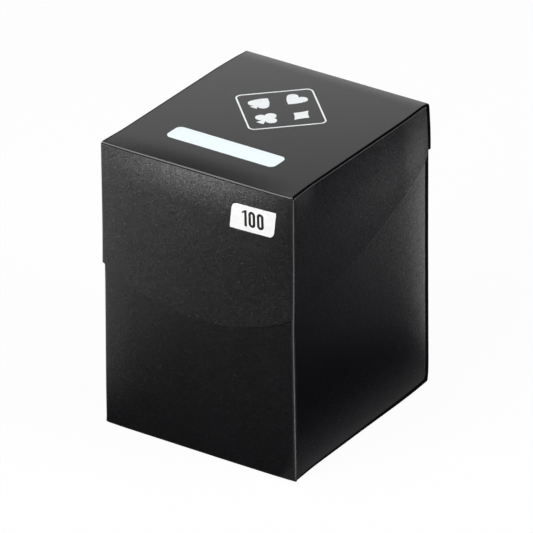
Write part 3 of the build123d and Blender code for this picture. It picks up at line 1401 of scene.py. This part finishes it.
        half = chained(
            stations(0.0, flat_half, self.shop.step), self.shop.bend(flat_half, self.lid_fold)
        )
        self.shop.make(
            "lid", "lid_front_flap",
            columns=mirrored(half),
            rows=stations(0.0, 1.0, self.arch_step / (high.z - low.z)),
            place=place, outward=FORWARDS, cut=(Side.FIRST_ROW,),
            skin=fold_skin(lambda column: abs(column) > flat_half),
        )

    def back_flap(self) -> None:
        """Makes the back flap, from the hinge line up to the rear fold."""
        low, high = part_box("lid_back_flap")
        self.shop.make(
            "lid", "lid_back_flap",
            columns=stations(low.x, high.x, self.shop.step),
            rows=stations(low.z, high.z, self.shop.step),
            place=lambda column, row: Vector((column, high.y, row)), outward=-FORWARDS,
        )

    def wing(self, name: str, side: float) -> None:
        """Makes one wing: an arched lower edge, and a trimmed corner at the hinge.

        Args:
            name: Right or left.
            side: One for the right, minus one for the left.
        """
        node = f"lid_{name}_wing"
        low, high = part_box(node)
        rear = high.y + self.wing_rear_reach
        outer = max(abs(low.x), abs(high.x)) * side
        trim_start = rear - self.wing_trim_run
        trim_foot = Vector((trim_start, self.wing_trim_top - self.wing_trim_rise))
        arch = arc_through(
            Vector((low.y, low.z)), Vector((0.0, self.wing_middle_height)), trim_foot
        )
        trim = line_through(trim_foot, Vector((rear, self.wing_trim_top)))
        crease_end = low.y + self.shop.crease.radius
        flap_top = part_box("lid_front_flap")[1].z
        rise = line_through(Vector((low.y, flap_top)), Vector((crease_end, high.z)))

        def place(along: float, share: float) -> Vector:
            """Finds a point of the outer face between the lower and the upper cut.

            Args:
                along: Place from the front to the back.
                share: Share of the way up.

            Returns:
                The point.
            """
            bottom = arch(along) if along < trim_start else trim(along)
            top = rise(along) if along < crease_end else high.z
            height = between(bottom, top, share)
            out = self.shop.spring.wing_curl.at(height - bottom)
            return Vector((outer + math.copysign(out, outer), along, height))

        self.shop.make(
            "lid", node,
            columns=chained(
                stations(low.y, crease_end, self.crease_step),
                stations(crease_end, trim_start, self.shop.step),
                stations(trim_start, rear, self.trim_step),
            ),
            rows=stations(0.0, 1.0, self.arch_step / (high.z - low.z)),
            place=place, outward=Vector((side, 0, 0)),
            cut=(Side.LAST_COLUMN, Side.FIRST_ROW, Side.LAST_ROW),
            finishes=self.shop.side_finishes,
        )

    def tabs(self, name: str, side: float) -> None:
        """Makes the top's and the back flap's tab on one side, glued inside the wing.

        Args:
            name: Right or left.
            side: One for the right, minus one for the left.
        """
        shop, back = self.shop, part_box("lid_back_flap")[1]
        low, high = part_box(f"lid_top_{name}_tab")
        shop.tab(
            "lid", f"lid_top_{name}_tab", Vector((side * self.top_line(), 0, high.z)),
            DOWNWARDS, self.top_fold,
            (shop.slanted(low.y, 1.0), shop.mitred(back.y - shop.soft_fold.radius, -1.0)),
            self.tab_reach,
        )
        free_end = shop.slanted(hinge_line() + shop.hinge_gap, 1.0, self.rear_tab_slant)
        shop.tab(
            "lid", f"lid_back_{name}_tab", Vector((side * self.tab_line(), back.y, 0)),
            FORWARDS, shop.soft_fold, (free_end, shop.mitred(back.z, -1.0)), self.rear_tab_reach,
        )


@dataclass
class FlexHinge:
    """The strip of sheet pressed thin across the back, which bends when the lid opens.

    Args:
        shop: What all pieces share.
        web: How thin it is pressed.
        edge_bevel: Rounding of its edges.
        rows: Faces across it, which the bend needs to look round.
    """

    shop: SheetShop
    web: float = 0.2 * MM
    edge_bevel: float = 0.02 * MM
    rows: int = 12

    def build(self) -> None:
        """Makes the strip in place of its construction node."""
        low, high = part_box("hinge_crease")
        layout = SheetPiece(
            name="hinge_crease_strip",
            columns=stations(low.x, high.x, 2 * self.shop.step),
            rows=stations(low.z, high.z, (high.z - low.z) / self.rows),
            place=lambda column, row: Vector((column, high.y, row)), outward=-FORWARDS,
            thickness=self.web, edge_bevel=self.edge_bevel,
            finishes=(self.shop.panel_finishes[1],) * 3,
        )
        piece = layout.build(self.shop.spring, "box")
        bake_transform(piece)
        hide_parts("hinge_crease")
        LOG.info("%s: bends between box and lid", piece.name)


# ---------------------------------------------------------------- printed marks
def flat_shape(outlines: list[list[Vector]], thickness: float, name: str) -> bmesh.types.BMesh:
    """A thin plate with the outlines given, on the XY plane, holes where outlines nest.

    Args:
        outlines: Closed outlines as two-dimensional points.
        thickness: Height of the plate above the plane.
        name: Name of the working curve.

    Returns:
        The plate as a bmesh.
    """
    curve = bpy.data.curves.new(name, "CURVE")
    curve.dimensions = "2D"
    curve.fill_mode = "BOTH"
    curve.extrude = thickness / 2
    for outline in outlines:
        spline = curve.splines.new("POLY")
        spline.points.add(len(outline) - 1)
        for point, corner in zip(spline.points, outline):
            point.co = (corner.x, corner.y, 0.0, 1.0)
        spline.use_cyclic_u = True
    holder = linked(name, curve)
    bpy.context.view_layer.update()
    evaluated = holder.evaluated_get(bpy.context.evaluated_depsgraph_get())
    data = bpy.data.meshes.new_from_object(evaluated)
    bpy.data.objects.remove(holder)
    bpy.data.curves.remove(curve)
    mesh = bmesh.new()
    mesh.from_mesh(data)
    bpy.data.meshes.remove(data)
    bmesh.ops.remove_doubles(mesh, verts=mesh.verts[:], dist=1e-6)
    bmesh.ops.translate(mesh, verts=mesh.verts[:], vec=(0, 0, thickness / 2))
    bmesh.ops.recalc_face_normals(mesh, faces=mesh.faces[:])
    return mesh


def arc_points(centre: Vector, radius: float, start: float, end: float, steps: int) -> list[Vector]:
    """Points on a circle, from a start to an end angle in degrees, both included."""
    return [centre + radius * unit(a) for a in stations(start, end, abs(end - start) / steps)]


def rounded_outline(
    centres: Iterable[tuple[Vector, float]], radius: float, steps: int
) -> list[Vector]:
    """A closed outline with a quarter circle at each corner.

    Args:
        centres: For each corner, the circle's middle and the angle that it starts at.
        radius: Radius of the circles.
        steps: Faces across each of them.

    Returns:
        The outline.
    """
    points: list[Vector] = []
    for centre, start in centres:
        points += arc_points(centre, radius, start, start + 90, steps)
    return points


def reflected(points: list[Vector]) -> list[Vector]:
    """The same points on the other side of the upright axis, in reverse order."""
    return [Vector((-p.x, p.y)) for p in reversed(points)]


class Pip(Enum):
    """The four traditional card suits, drawn in a square of side one."""

    HEART = "heart"
    DIAMOND = "diamond"
    SPADE = "spade"
    CLUB = "club"

    def outline(self) -> list[Vector]:
        """Draws the pip.

        Returns:
            The outline's points in order, centred on the origin.
        """
        draw = {
            Pip.HEART: self.heart, Pip.DIAMOND: self.diamond, Pip.SPADE: self.spade,
            Pip.CLUB: self.club,
        }
        return draw[self]()

    @staticmethod
    def heart() -> list[Vector]:
        """Draws two lobes and a point with slightly bowed sides.

        Returns:
            The outline.
        """
        lobe, lobe_height, bow = 0.235, 0.2, 0.05
        right = arc_points(Vector((lobe * 0.98, lobe_height)), lobe, -38, 165, 18)
        tip = Vector((0, -0.46))
        flank = [
            tip.lerp(right[0], share) + Vector((bow * math.sin(math.pi * share), 0))
            for share in stations(0.0, 0.75, 0.25)
        ]
        half = flank + right
        return half + reflected(half[1:])

    @staticmethod
    def diamond() -> list[Vector]:
        """Draws four corners joined by arcs that bow inwards.

        Returns:
            The outline.
        """
        reach_x, reach_y, bow = 0.38, 0.5, 0.05
        corners = [
            Vector((0, -reach_y)), Vector((reach_x, 0)), Vector((0, reach_y)), Vector((-reach_x, 0))
        ]
        points: list[Vector] = []
        for first, last in zip(corners, corners[1:] + corners[:1]):
            for share in stations(0.0, 0.9, 0.1):
                pull = 1 - 8 * bow * share * (1 - share)
                points.append(first.lerp(last, share) * pull)
        return points

    @staticmethod
    def spade() -> list[Vector]:
        """Draws a heart upside down, on a foot.

        Returns:
            The outline.
        """
        lift, neck, foot_half, foot_end = 0.06, 0.055, 0.17, -0.5
        upside_down = [Vector((-p.x, -p.y + lift)) for p in Pip.heart()]
        lobes = [p for p in upside_down if p.y > 0 or abs(p.x) > neck]
        first = next(i for i, p in enumerate(lobes) if i and p.x > 0)
        foot = [Vector((-foot_half, foot_end)), Vector((foot_half, foot_end))]
        return lobes[:first] + foot + lobes[first:]

    @staticmethod
    def club() -> list[Vector]:
        """Draws three lobes on a foot.

        Returns:
            The outline.
        """
        lobe, side_middle, crown_middle = 0.235, Vector((0.245, -0.06)), Vector((0.0, 0.265))
        foot = [Vector((0.17, -0.5)), Vector((0.045, -0.12))]
        right = arc_points(side_middle, lobe, -130, 100, 18)
        crown = arc_points(crown_middle, lobe, -35, 215, 20)
        return foot + right + crown + reflected(right) + reflected(foot)


@dataclass
class TopPrint:
    """White ornament on the lid: the four suits in a cross, inside a thin lozenge.

    Args:
        ink: How thick the ink is.
        centre: The ornament's middle on the top.
        frame_reach: From the middle to the lozenge's corners, before they are rounded.
        frame_line: Width of its line.
        frame_corner: Rounding of its corners.
        pip_size: Size of a pip.
        pip_offset: From the middle to a pip's.
    """

    ink: float = 0.02 * MM
    centre: Vector = field(default_factory=lambda: Vector((-1.6 * MM, 9.9 * MM)))
    frame_reach: float = 17.6 * MM
    frame_line: float = 0.55 * MM
    frame_corner: float = 2.2 * MM
    pip_size: float = 7.8 * MM
    pip_offset: float = 7.7 * MM

    def lozenge(self, reach: float, corner: float) -> list[Vector]:
        """Draws a square on its corner, with rounded corners.

        Args:
            reach: Distance from the middle to a corner that isn't rounded.
            corner: Radius of the rounding.

        Returns:
            The outline.
        """
        middle = reach - corner * math.sqrt(2)
        centres = [(unit(turn) * middle, turn - 45) for turn in (0, 90, 180, 270)]
        return rounded_outline(centres, corner, 8)

    def build(self) -> None:
        """Makes the lozenge line and the four pips."""
        material = WHITE_INK.material()
        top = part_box("lid_top_panel")[1].z
        outer = self.lozenge(self.frame_reach, self.frame_corner)
        inner = self.lozenge(
            self.frame_reach - self.frame_line * math.sqrt(2), self.frame_corner - self.frame_line
        )
        shapes = {"ornament_lozenge": [outer, inner]}
        for pip, turn in zip(Pip, (90, 0, 180, 270)):
            way = unit(turn) * self.pip_offset
            shapes[f"ornament_{pip.value}"] = [[p * self.pip_size + way for p in pip.outline()]]
        for name, outlines in shapes.items():
            placed = [[p + self.centre for p in outline] for outline in outlines]
            mesh = flat_shape(placed, self.ink, name)
            bmesh.ops.translate(mesh, verts=mesh.verts[:], vec=(0, 0, top))
            settle(finished(name, mesh, (material,)), "lid", "write_on_ink")


@dataclass
class WriteOnPatch:
    """A matte white patch on the lid that takes a pen.

    Args:
        corner: Rounding of its corners.
    """

    corner: float = 2.0 * MM

    def build(self) -> None:
        """Makes the patch."""
        low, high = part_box("write_on_label")
        left, right = low.x + self.corner, high.x - self.corner
        front, back = low.y + self.corner, high.y - self.corner
        centres = (
            (Vector((right, front)), -90), (Vector((right, back)), 0),
            (Vector((left, back)), 90), (Vector((left, front)), 180),
        )
        outline = rounded_outline(centres, self.corner, 10)
        mesh = flat_shape([outline], high.z - low.z, "write_on_label")
        bmesh.ops.translate(mesh, verts=mesh.verts[:], vec=(0, 0, low.z))
        patch = finished("write_on_label_print", mesh, (PATCH_INK.material(),))
        settle(patch, "lid", "write_on_ink", "write_on_label")


@dataclass
class CapacityBadge:
    """A white film tag on the front flap that gives the number of cards.

    Args:
        shop: What all pieces share; the tag bends with the flap's spring.
        lean: How far the tag leans over its height.
        turn_degrees: How askew it is stuck on.
        length: Length of the tag.
        height: Its height.
        corner: Rounding of two opposite corners.
        small_corner: Rounding of the other two.
        figures: What is printed on it.
        figure_height: Height of a figure.
        zero_width: Width of a nought.
        stroke: Width of a figure's line.
        spacing: Gap between figures.
        flag_reach: How far the one's flag sticks out.
        flag_start: Where the flag leaves the top, as a share of half the stroke.
        flag_drop: How far its tip lies below the top.
        flag_end: Height of the tip's upright cut.
        flag_root: How far below the top its lower side meets the stroke.
        one_shift: How far the one's stroke stands right of its middle.
        ink: How thick the ink is.
        cut_over: Edges longer than this are cut up, so that the tag can bend.
        cuts: How often.
    """

    shop: SheetShop
    lean: float = 1.2 * MM
    turn_degrees: float = 1.4
    length: float = 16.2 * MM
    height: float = 8.8 * MM
    corner: float = 2.0 * MM
    small_corner: float = 0.4 * MM
    figures: str = "100"
    figure_height: float = 5.5 * MM
    zero_width: float = 2.45 * MM
    stroke: float = 0.9 * MM
    spacing: float = 0.65 * MM
    flag_reach: float = 0.85 * MM
    flag_start: float = 0.4
    flag_drop: float = 0.75 * MM
    flag_end: float = 0.6 * MM
    flag_root: float = 0.85 * MM
    one_shift: float = 0.43 * MM
    ink: float = 0.02 * MM
    cut_over: float = 1.5 * MM
    cuts: int = 3

    def tag_outline(self) -> list[Vector]:
        """Draws the leaning tag, two of its corners well rounded.

        Returns:
            The outline.
        """
        half_length, half_height, half_lean = self.length / 2, self.height / 2, self.lean / 2
        corners = (
            (Vector((-half_length - half_lean, -half_height)), self.small_corner),
            (Vector((half_length - half_lean, -half_height)), self.corner),
            (Vector((half_length + half_lean, half_height)), self.small_corner),
            (Vector((-half_length + half_lean, half_height)), self.corner),
        )
        points: list[Vector] = []
        for i, (corner, radius) in enumerate(corners):
            before = (corners[i - 1][0] - corner).normalized() * radius
            after = (corners[(i + 1) % 4][0] - corner).normalized() * radius
            # A quadratic curve from one tangent point to the other.
            for share in stations(0.0, 1.0, 0.1):
                points.append(corner + before * (1 - share) ** 2 + after * share**2)
        return points

    def zero(self) -> list[list[Vector]]:
        """Draws a narrow nought.

        Returns:
            Its outer and its inner outline.
        """
        outlines = []
        for inset in (0.0, self.stroke):
            radius = self.zero_width / 2 - inset
            rise = self.figure_height / 2 - inset - radius
            outlines.append(
                arc_points(Vector((0, rise)), radius, 0, 180, 16)
                + arc_points(Vector((0, -rise)), radius, 180, 360, 16)
            )
        return outlines

    def one(self) -> list[list[Vector]]:
        """Draws a one: an upright stroke with a short flag.

        Returns:
            Its outline, as a list of one.
        """
        right, top = self.stroke / 2, self.figure_height / 2
        tip, tip_top = -right - self.flag_reach, top - self.flag_drop
        return [[
            Vector((-right, -top)), Vector((right, -top)), Vector((right, top)),
            Vector((-self.flag_start * right, top)), Vector((tip, tip_top)),
            Vector((tip, tip_top - self.flag_end)), Vector((-right, top - self.flag_root)),
        ]]

    def stand(self, mesh: bmesh.types.BMesh, lift: float) -> None:
        """Stands a plate up on the front flap, turned askew as the tag is.

        Args:
            mesh: The plate, on the XY plane.
            lift: How far in front of the flap it starts.
        """
        low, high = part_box("capacity_badge")
        middle = (low + high) / 2
        middle.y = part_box("lid_front_flap")[0].y - lift
        long_edges = [e for e in mesh.edges if e.calc_length() > self.cut_over]
        bmesh.ops.subdivide_edges(mesh, edges=long_edges, cuts=self.cuts, use_grid_fill=True)
        askew = Matrix.Rotation(math.radians(self.turn_degrees), 4, "Z")
        upright = Matrix.Translation(middle) @ Matrix.Rotation(math.radians(90), 4, "X")
        bmesh.ops.transform(mesh, matrix=upright @ askew, verts=mesh.verts[:])
        for vert in mesh.verts:
            vert.co = self.shop.spring.moved(vert.co, "lid")

    def build(self) -> None:
        """Makes the tag and its figures."""
        low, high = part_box("capacity_badge")
        film = high.y - low.y - self.ink
        tag = flat_shape([self.tag_outline()], film, "capacity_badge")
        self.stand(tag, 0.0)
        tag_piece = finished("capacity_badge_film", tag, (BADGE_FILM.material(),))
        settle(tag_piece, "lid", "badge_film", "capacity_badge")
        material = BADGE_INK.material()
        kinds = {
            "0": (self.zero(), self.zero_width, 0.0),
            "1": (self.one(), self.stroke + self.flag_reach, self.one_shift),
        }
        widths = [kinds[figure][1] for figure in self.figures]
        start = -(sum(widths) + self.spacing * (len(widths) - 1)) / 2
        for number, figure in enumerate(self.figures, start=1):
            outlines, width, aside = kinds[figure]
            shift = Vector((start + width / 2 + aside, 0))
            start += width + self.spacing
            placed = [[p + shift for p in outline] for outline in outlines]
            mesh = flat_shape(placed, self.ink, "figure")
            self.stand(mesh, film)
            settle(finished(f"badge_figure_{number}", mesh, (material,)), "lid", "badge_film")


# ---------------------------------------------------------------- studio
@dataclass(frozen=True)
class Softbox:
    """A rectangular studio light.

    Args:
        name: Name of the light.
        place: Where its middle is.
        size: Width and height.
        radiance: How bright its face looks; a sunlit white card is one.
        glossy: Whether sheen shows it.
        diffuse: Whether it lights matt surfaces.
        aim: What it faces, which is the middle of the box.
    """

    name: str
    place: tuple[float, float, float]
    size: tuple[float, float]
    radiance: float
    glossy: bool = True
    diffuse: bool = True
    aim: tuple[float, float, float] = (0.0, 0.0, 0.06)

    def build(self) -> None:
        """Makes the light."""
        light = bpy.data.lights.new(self.name, "AREA")
        light.shape = "RECTANGLE"
        light.size, light.size_y = self.size
        light.energy = self.radiance * math.pi * self.size[0] * self.size[1]
        made = linked(self.name, light)
        made.location = self.place
        facing = Vector(self.aim) - Vector(self.place)
        made.rotation_euler = facing.to_track_quat("-Z", "Y").to_euler()
        made.visible_glossy = self.glossy
        made.visible_diffuse = self.diffuse
        made.visible_camera = False


def towards(
    azimuth: float, elevation: float, distance: float, height: float
) -> tuple[float, float, float]:
    """Finds a place by its direction from the box's axis.

    Args:
        azimuth: Degrees from +X towards +Y.
        elevation: Degrees above the level.
        distance: How far away.
        height: Height on the axis that the angles are seen from.

    Returns:
        The place's coordinates.
    """
    side, rise = math.radians(azimuth), math.radians(elevation)
    level = distance * math.cos(rise)
    return level * math.cos(side), level * math.sin(side), height + distance * math.sin(rise)


def joined(tree: bpy.types.NodeTree, operation: str, values: Iterable[Any]) -> Any:
    """Joins several values by one calculation, two at a time.

    Args:
        tree: The node tree that gets the nodes.
        operation: The calculation, such as ADD.
        values: Outputs or numbers.

    Returns:
        The output with the result.
    """
    result, *others = values
    for value in others:
        step = add_node(tree, "ShaderNodeMath", {0: result, 1: value}, operation=operation)
        result = step.outputs[0]
    return result


class Along(Enum):
    """What the floor's glow changes along."""

    X = "from left to right"
    Y = "from front to back"
    SLANT = "from the front left to the right"
    DISTANCE = "away from the box's middle"
    BEARING = "round the box's middle"
    FOLD_BEARING = "round the flap's right fold"


@dataclass(frozen=True)
class Slope:
    """A straight rise or fall of a glow, level on both sides of it.

    Args:
        along: What it runs along.
        start: Where it starts, in metres or, for a bearing, in degrees.
        end: Where it ends.
        least: Level before the start.
        most: Level after the end.
    """

    along: Along
    start: float
    end: float
    least: float = 0.0
    most: float = 1.0

    def level(self, tree: bpy.types.NodeTree, measures: dict[Along, Any]) -> Any:
        """Works the level out.

        Args:
            tree: The node tree that gets the node.
            measures: The output with each measure.

        Returns:
            The output with the level.
        """
        is_angle = self.along in (Along.BEARING, Along.FOLD_BEARING)
        start, end = (math.radians(v) if is_angle else v for v in (self.start, self.end))
        ramp = add_node(
            tree, "ShaderNodeMapRange", {
                "Value": measures[self.along],
                "From Min": start,
                "From Max": end,
                "To Min": self.least,
                "To Max": self.most,
            },
        )
        return ramp.outputs["Result"]


@dataclass(frozen=True)
class FloorGlow:
    """White paper as the sheen sees it: lit from behind, from the left and far in front.

    The box's own soft shadow leaves it dark in front of the box and on its right.  Each
    patch of light is the product of its slopes.

    Args:
        name: Name of the material.
        slant: How much the slanting measure falls towards the back.
        left: Light beside the box on the left.
        near_left: Light before its left corner.
        behind: Light behind it on the right.
        right: The faint light on its right.
        far_front: The lit paper far in front.
        beside: Light that creeps round its right side.
        off_fold: Streak that the flap's right fold catches.
    """

    name: str = "paper_backdrop_lit"
    slant: float = 0.66
    left: tuple[Slope, ...] = (Slope(Along.X, -0.059, -0.082, 0.0, 0.18),)
    near_left: tuple[Slope, ...] = (
        Slope(Along.SLANT, 0.001, -0.021, 0.0, 0.66),
        Slope(Along.Y, -0.045, -0.068),
        Slope(Along.Y, -0.11, -0.19, 1.0, 0.2),
    )
    behind: tuple[Slope, ...] = (
        Slope(Along.BEARING, 54.5, 62, 0.0, 1.75),
        Slope(Along.BEARING, 76, 88, 1.0, 0.0),
        Slope(Along.DISTANCE, 0.19, 0.3, 1.0, 0.1),
    )
    right: tuple[Slope, ...] = (
        Slope(Along.DISTANCE, 0.08, 0.1, 0.0, 0.1),
        Slope(Along.DISTANCE, 0.15, 0.19, 1.0, 0.0),
        Slope(Along.BEARING, 15, 28),
        Slope(Along.BEARING, 42, 55, 1.0, 0.0),
    )
    far_front: tuple[Slope, ...] = (
        Slope(Along.Y, -0.225, -0.325, 0.0, 7.4),
        Slope(Along.SLANT, 0.06, 0.024, 0.05, 1.0),
    )
    beside: tuple[Slope, ...] = (
        Slope(Along.X, 0.03, 0.03001),
        Slope(Along.X, 0.038, 0.052, 0.22, 0.0),
    )
    off_fold: tuple[Slope, ...] = (
        Slope(Along.FOLD_BEARING, -50, -40, 0.0, 6.0),
        Slope(Along.FOLD_BEARING, -28, -18, 1.0, 0.0),
    )

    def material(self) -> bpy.types.Material:
        """Makes the material.

        Returns:
            A light-emitting material whose glow depends on the place alone.
        """
        made = bpy.data.materials.new(self.name)
        tree = bare_tree(made)
        place = add_node(tree, "ShaderNodeTexCoord").outputs["Object"]
        low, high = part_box("lid_front_flap")
        from_fold = add_node(
            tree, "ShaderNodeVectorMath", {0: place, 1: (high.x, low.y, 0.0)}, operation="SUBTRACT"
        )
        axes = add_node(tree, "ShaderNodeSeparateXYZ", {0: place}).outputs
        fold_axes = add_node(tree, "ShaderNodeSeparateXYZ", {0: from_fold.outputs[0]}).outputs
        across = add_node(
            tree, "ShaderNodeVectorMath", {0: place, 1: (1.0, -self.slant, 0.0)},
            operation="DOT_PRODUCT",
        )
        away = add_node(tree, "ShaderNodeVectorMath", {0: place}, operation="LENGTH")
        measures = {
            Along.X: axes["X"],
            Along.Y: axes["Y"],
            Along.SLANT: across.outputs["Value"],
            Along.DISTANCE: away.outputs["Value"],
            Along.BEARING: joined(tree, "ARCTAN2", (axes["Y"], axes["X"])),
            Along.FOLD_BEARING: joined(tree, "ARCTAN2", (fold_axes["Y"], fold_axes["X"])),
        }
        patches = (
            self.left, self.behind, self.near_left, self.right, self.far_front, self.beside,
            self.off_fold,
        )
        left, behind, *others = (
            joined(tree, "MULTIPLY", [slope.level(tree, measures) for slope in patch])
            for patch in patches
        )
        rear = joined(tree, "MAXIMUM", (left, behind))
        glow = joined(tree, "ADD", (rear, *others))
        light = add_node(tree, "ShaderNodeEmission", {"Strength": glow})
        add_node(tree, "ShaderNodeOutputMaterial", {"Surface": light.outputs[0]})
        return made


@dataclass(frozen=True)
class CardGlow:
    """White card lit from below and from the left, so that its glow changes evenly.

    Args:
        name: Name of the material.
        glow: Radiance at the middle.
        middle: The place with that radiance.
        left_gain: Share of the glow gained in each span towards the left.
        down_gain: Share gained in each span downwards.
        span: Length of a span.
    """

    name: str = "paper_card_lit"
    glow: float = 1.12
    middle: tuple[float, float, float] = (-0.15, 0.0, 0.19)
    left_gain: float = 0.33
    down_gain: float = 1.18
    span: float = 0.1

    def material(self) -> bpy.types.Material:
        """Makes the material.

        Returns:
            A light-emitting material whose glow depends on the place alone.
        """
        made = bpy.data.materials.new(self.name)
        tree = bare_tree(made)
        place = add_node(tree, "ShaderNodeTexCoord").outputs["Object"]
        change = Vector((-self.left_gain, 0.0, -self.down_gain)) * (self.glow / self.span)
        gained = add_node(
            tree, "ShaderNodeVectorMath", {0: place, 1: change}, operation="DOT_PRODUCT"
        )
        start = self.glow - change.dot(Vector(self.middle))
        level = joined(tree, "ADD", (gained.outputs["Value"], start))
        light = add_node(
            tree, "ShaderNodeEmission", {"Strength": joined(tree, "MAXIMUM", (level, 0.0))}
        )
        add_node(tree, "ShaderNodeOutputMaterial", {"Surface": light.outputs[0]})
        return made


@dataclass(frozen=True)
class PaperBackdrop:
    """White paper roll that is lit evenly, with a little shadow under the box.

    Args:
        name: Name of the material.
        colour: Colour of the even light.
        glow: Radiance of that light.
        matt: How much of the lamps' light it adds, as a grey.
    """

    name: str = "paper_backdrop_white"
    colour: str = "#fefefe"
    glow: float = 0.96
    matt: str = "#383838"

    def material(self) -> bpy.types.Material:
        """Makes the material.

        Returns:
            A material that mostly shines by itself.
        """
        made = bpy.data.materials.new(self.name)
        tree = bare_tree(made)
        shine = add_node(
            tree, "ShaderNodeEmission", {"Color": linear(self.colour), "Strength": self.glow}
        )
        matt = add_node(tree, "ShaderNodeBsdfDiffuse", {"Color": linear(self.matt)})
        both = add_node(tree, "ShaderNodeAddShader", {0: shine.outputs[0], 1: matt.outputs[0]})
        add_node(tree, "ShaderNodeOutputMaterial", {"Surface": both.outputs[0]})
        return made


@dataclass
class Studio:
    """Plain pale floor, soft lights and the camera.

    Args:
        azimuth: How far the camera stands to the right of the front, in degrees.
        elevation: How far above the level.
        roll: How far it is turned about its own axis.
        distance: How far away it is.
        aim_right: How far right of the box's middle it aims.
        aim_up: How far above it.
        lens: Focal length in millimetres.
        sensor: Width of its sensor in millimetres.
        clip: Nearest and farthest thing that it sees.
        floor_side: Side of the floor.
        glow_side: Side of the part of the floor that the sheen sees.
        glow_lift: How far above the floor that lies.
        card_x: Left and right edge of the card behind the box.
        card_y: Where it stands.
        card_z: Its lower and upper edge.
    """

    azimuth: float = 34.3934
    elevation: float = 27.5555
    roll: float = -0.4916
    distance: float = 2.5116032
    aim_right: float = -0.6011 * MM
    aim_up: float = -0.7606 * MM
    lens: float = 542.72
    sensor: float = 36.0
    clip: tuple[float, float] = (0.1, 20.0)
    floor_side: float = 8.0
    glow_side: float = 2.4
    glow_lift: float = 0.2 * MM
    card_x: tuple[float, float] = (-0.434, 0.072)
    card_y: float = 0.17
    card_z: tuple[float, float] = (0.112, 0.267)

    def camera(self) -> None:
        """Makes the camera, a long lens well away from the box."""
        side, rise, roll = (math.radians(a) for a in (self.azimuth, self.elevation, self.roll))
        level = math.cos(rise)
        back = Vector((math.sin(side) * level, -math.cos(side) * level, math.sin(rise)))
        right = Vector((math.cos(side), math.sin(side), 0))
        up = back.cross(right)
        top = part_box("lid_top_panel")[1].z
        aim = Vector((0, 0, top / 2)) + right * self.aim_right + up * self.aim_up
        data = bpy.data.cameras.new("camera")
        data.lens = self.lens
        data.sensor_width = self.sensor
        data.clip_start, data.clip_end = self.clip
        made = linked("camera", data)
        rolled_right = math.cos(roll) * right + math.sin(roll) * up
        rolled_up = -math.sin(roll) * right + math.cos(roll) * up
        turn = Matrix((rolled_right, rolled_up, back)).transposed().to_4x4()
        made.matrix_world = Matrix.Translation(aim + back * self.distance) @ turn
        bpy.context.scene.camera = made

    @staticmethod
    def card(name: str, shape: Matrix, material: bpy.types.Material) -> bpy.types.Object:
        """Makes a flat card that belongs to the studio and casts no light on matt things.

        Args:
            name: Name of the card.
            shape: Turns a square of side one into the card.
            material: What it is covered with.

        Returns:
            The card.
        """
        mesh = bmesh.new()
        bmesh.ops.create_grid(mesh, x_segments=4, y_segments=4, size=0.5)
        bmesh.ops.transform(mesh, matrix=shape, verts=mesh.verts[:])
        made = finished(name, mesh, (material,))
        made.visible_diffuse = False
        return made

    def floor(self) -> None:
        """Makes the pale floor that the camera sees and the sheen does not."""
        shape = Matrix.Diagonal((self.floor_side, self.floor_side, 1, 1))
        self.card("floor", shape, PaperBackdrop().material()).visible_glossy = False

    def sheen_cards(self) -> None:
        """Makes the lit floor and the bright card behind the box, for the sheen alone."""
        (left, right), (low, high) = self.card_x, self.card_z
        on_floor = Matrix.Translation((0, 0, self.glow_lift))
        behind = Matrix.Translation(((left + right) / 2, self.card_y, (low + high) / 2))
        upright = behind @ Matrix.Rotation(math.radians(90), 4, "X")
        for name, place, size, finish in (
            ("floor_glow", on_floor, (self.glow_side, self.glow_side), FloorGlow()),
            ("back_card", upright, (right - left, high - low), CardGlow()),
        ):
            card = self.card(name, place @ Matrix.Diagonal((*size, 1, 1)), finish.material())
            card.visible_camera = False
            card.visible_shadow = False

    def world(self) -> None:
        """Makes a white surround that the camera sees and the sheen does not."""
        world = bpy.data.worlds.new("surround")
        tree = bare_tree(world)
        glow = add_node(tree, "ShaderNodeBackground", {"Color": linear("#ffffff"), "Strength": 1.0})
        add_node(tree, "ShaderNodeOutputWorld", {"Surface": glow.outputs[0]})
        world.cycles_visibility.glossy = False
        world.cycles_visibility.diffuse = False
        bpy.context.scene.world = world
        bpy.context.scene.view_settings.view_transform = "Standard"

    def lights(self) -> None:
        """Makes the lights: three that fill the whites and two that the sheen shows."""
        low_place, high_place = towards(227.0, 7.4, 1.0, 0.09), towards(235.3, 45.0, 1.0, 0.09)
        for box in (
            Softbox("overhead", (0.0, 0.0, 0.9), (0.8, 0.8), 1.6, glossy=False),
            Softbox("front_fill", (-0.3, -1.0, 0.5), (0.8, 0.8), 7.6, glossy=False),
            Softbox("right_fill", (1.08, 0.2, 0.2), (0.6, 0.6), 22.0, glossy=False),
            Softbox("key_low", low_place, (1.2, 0.21), 31.0, diffuse=False),
            Softbox("key_high", high_place, (1.2, 1.1), 5.8, diffuse=False),
        ):
            box.build()

    def build(self) -> None:
        """Makes the whole studio."""
        self.camera()
        self.floor()
        self.sheen_cards()
        self.world()
        self.lights()


def main() -> None:
    """Builds the studio and then the box, part by part."""
    logging.basicConfig(level=logging.INFO, format="%(name)s: %(message)s")
    Studio().build()
    shop = SheetShop()
    for part in (
        BoxShell(shop), LidHood(shop), FlexHinge(shop), TopPrint(), WriteOnPatch(), CapacityBadge(shop)
    ):
        part.build()
        LOG.info("%s is done", type(part).__name__)


if __name__ == "__main__":
    main()
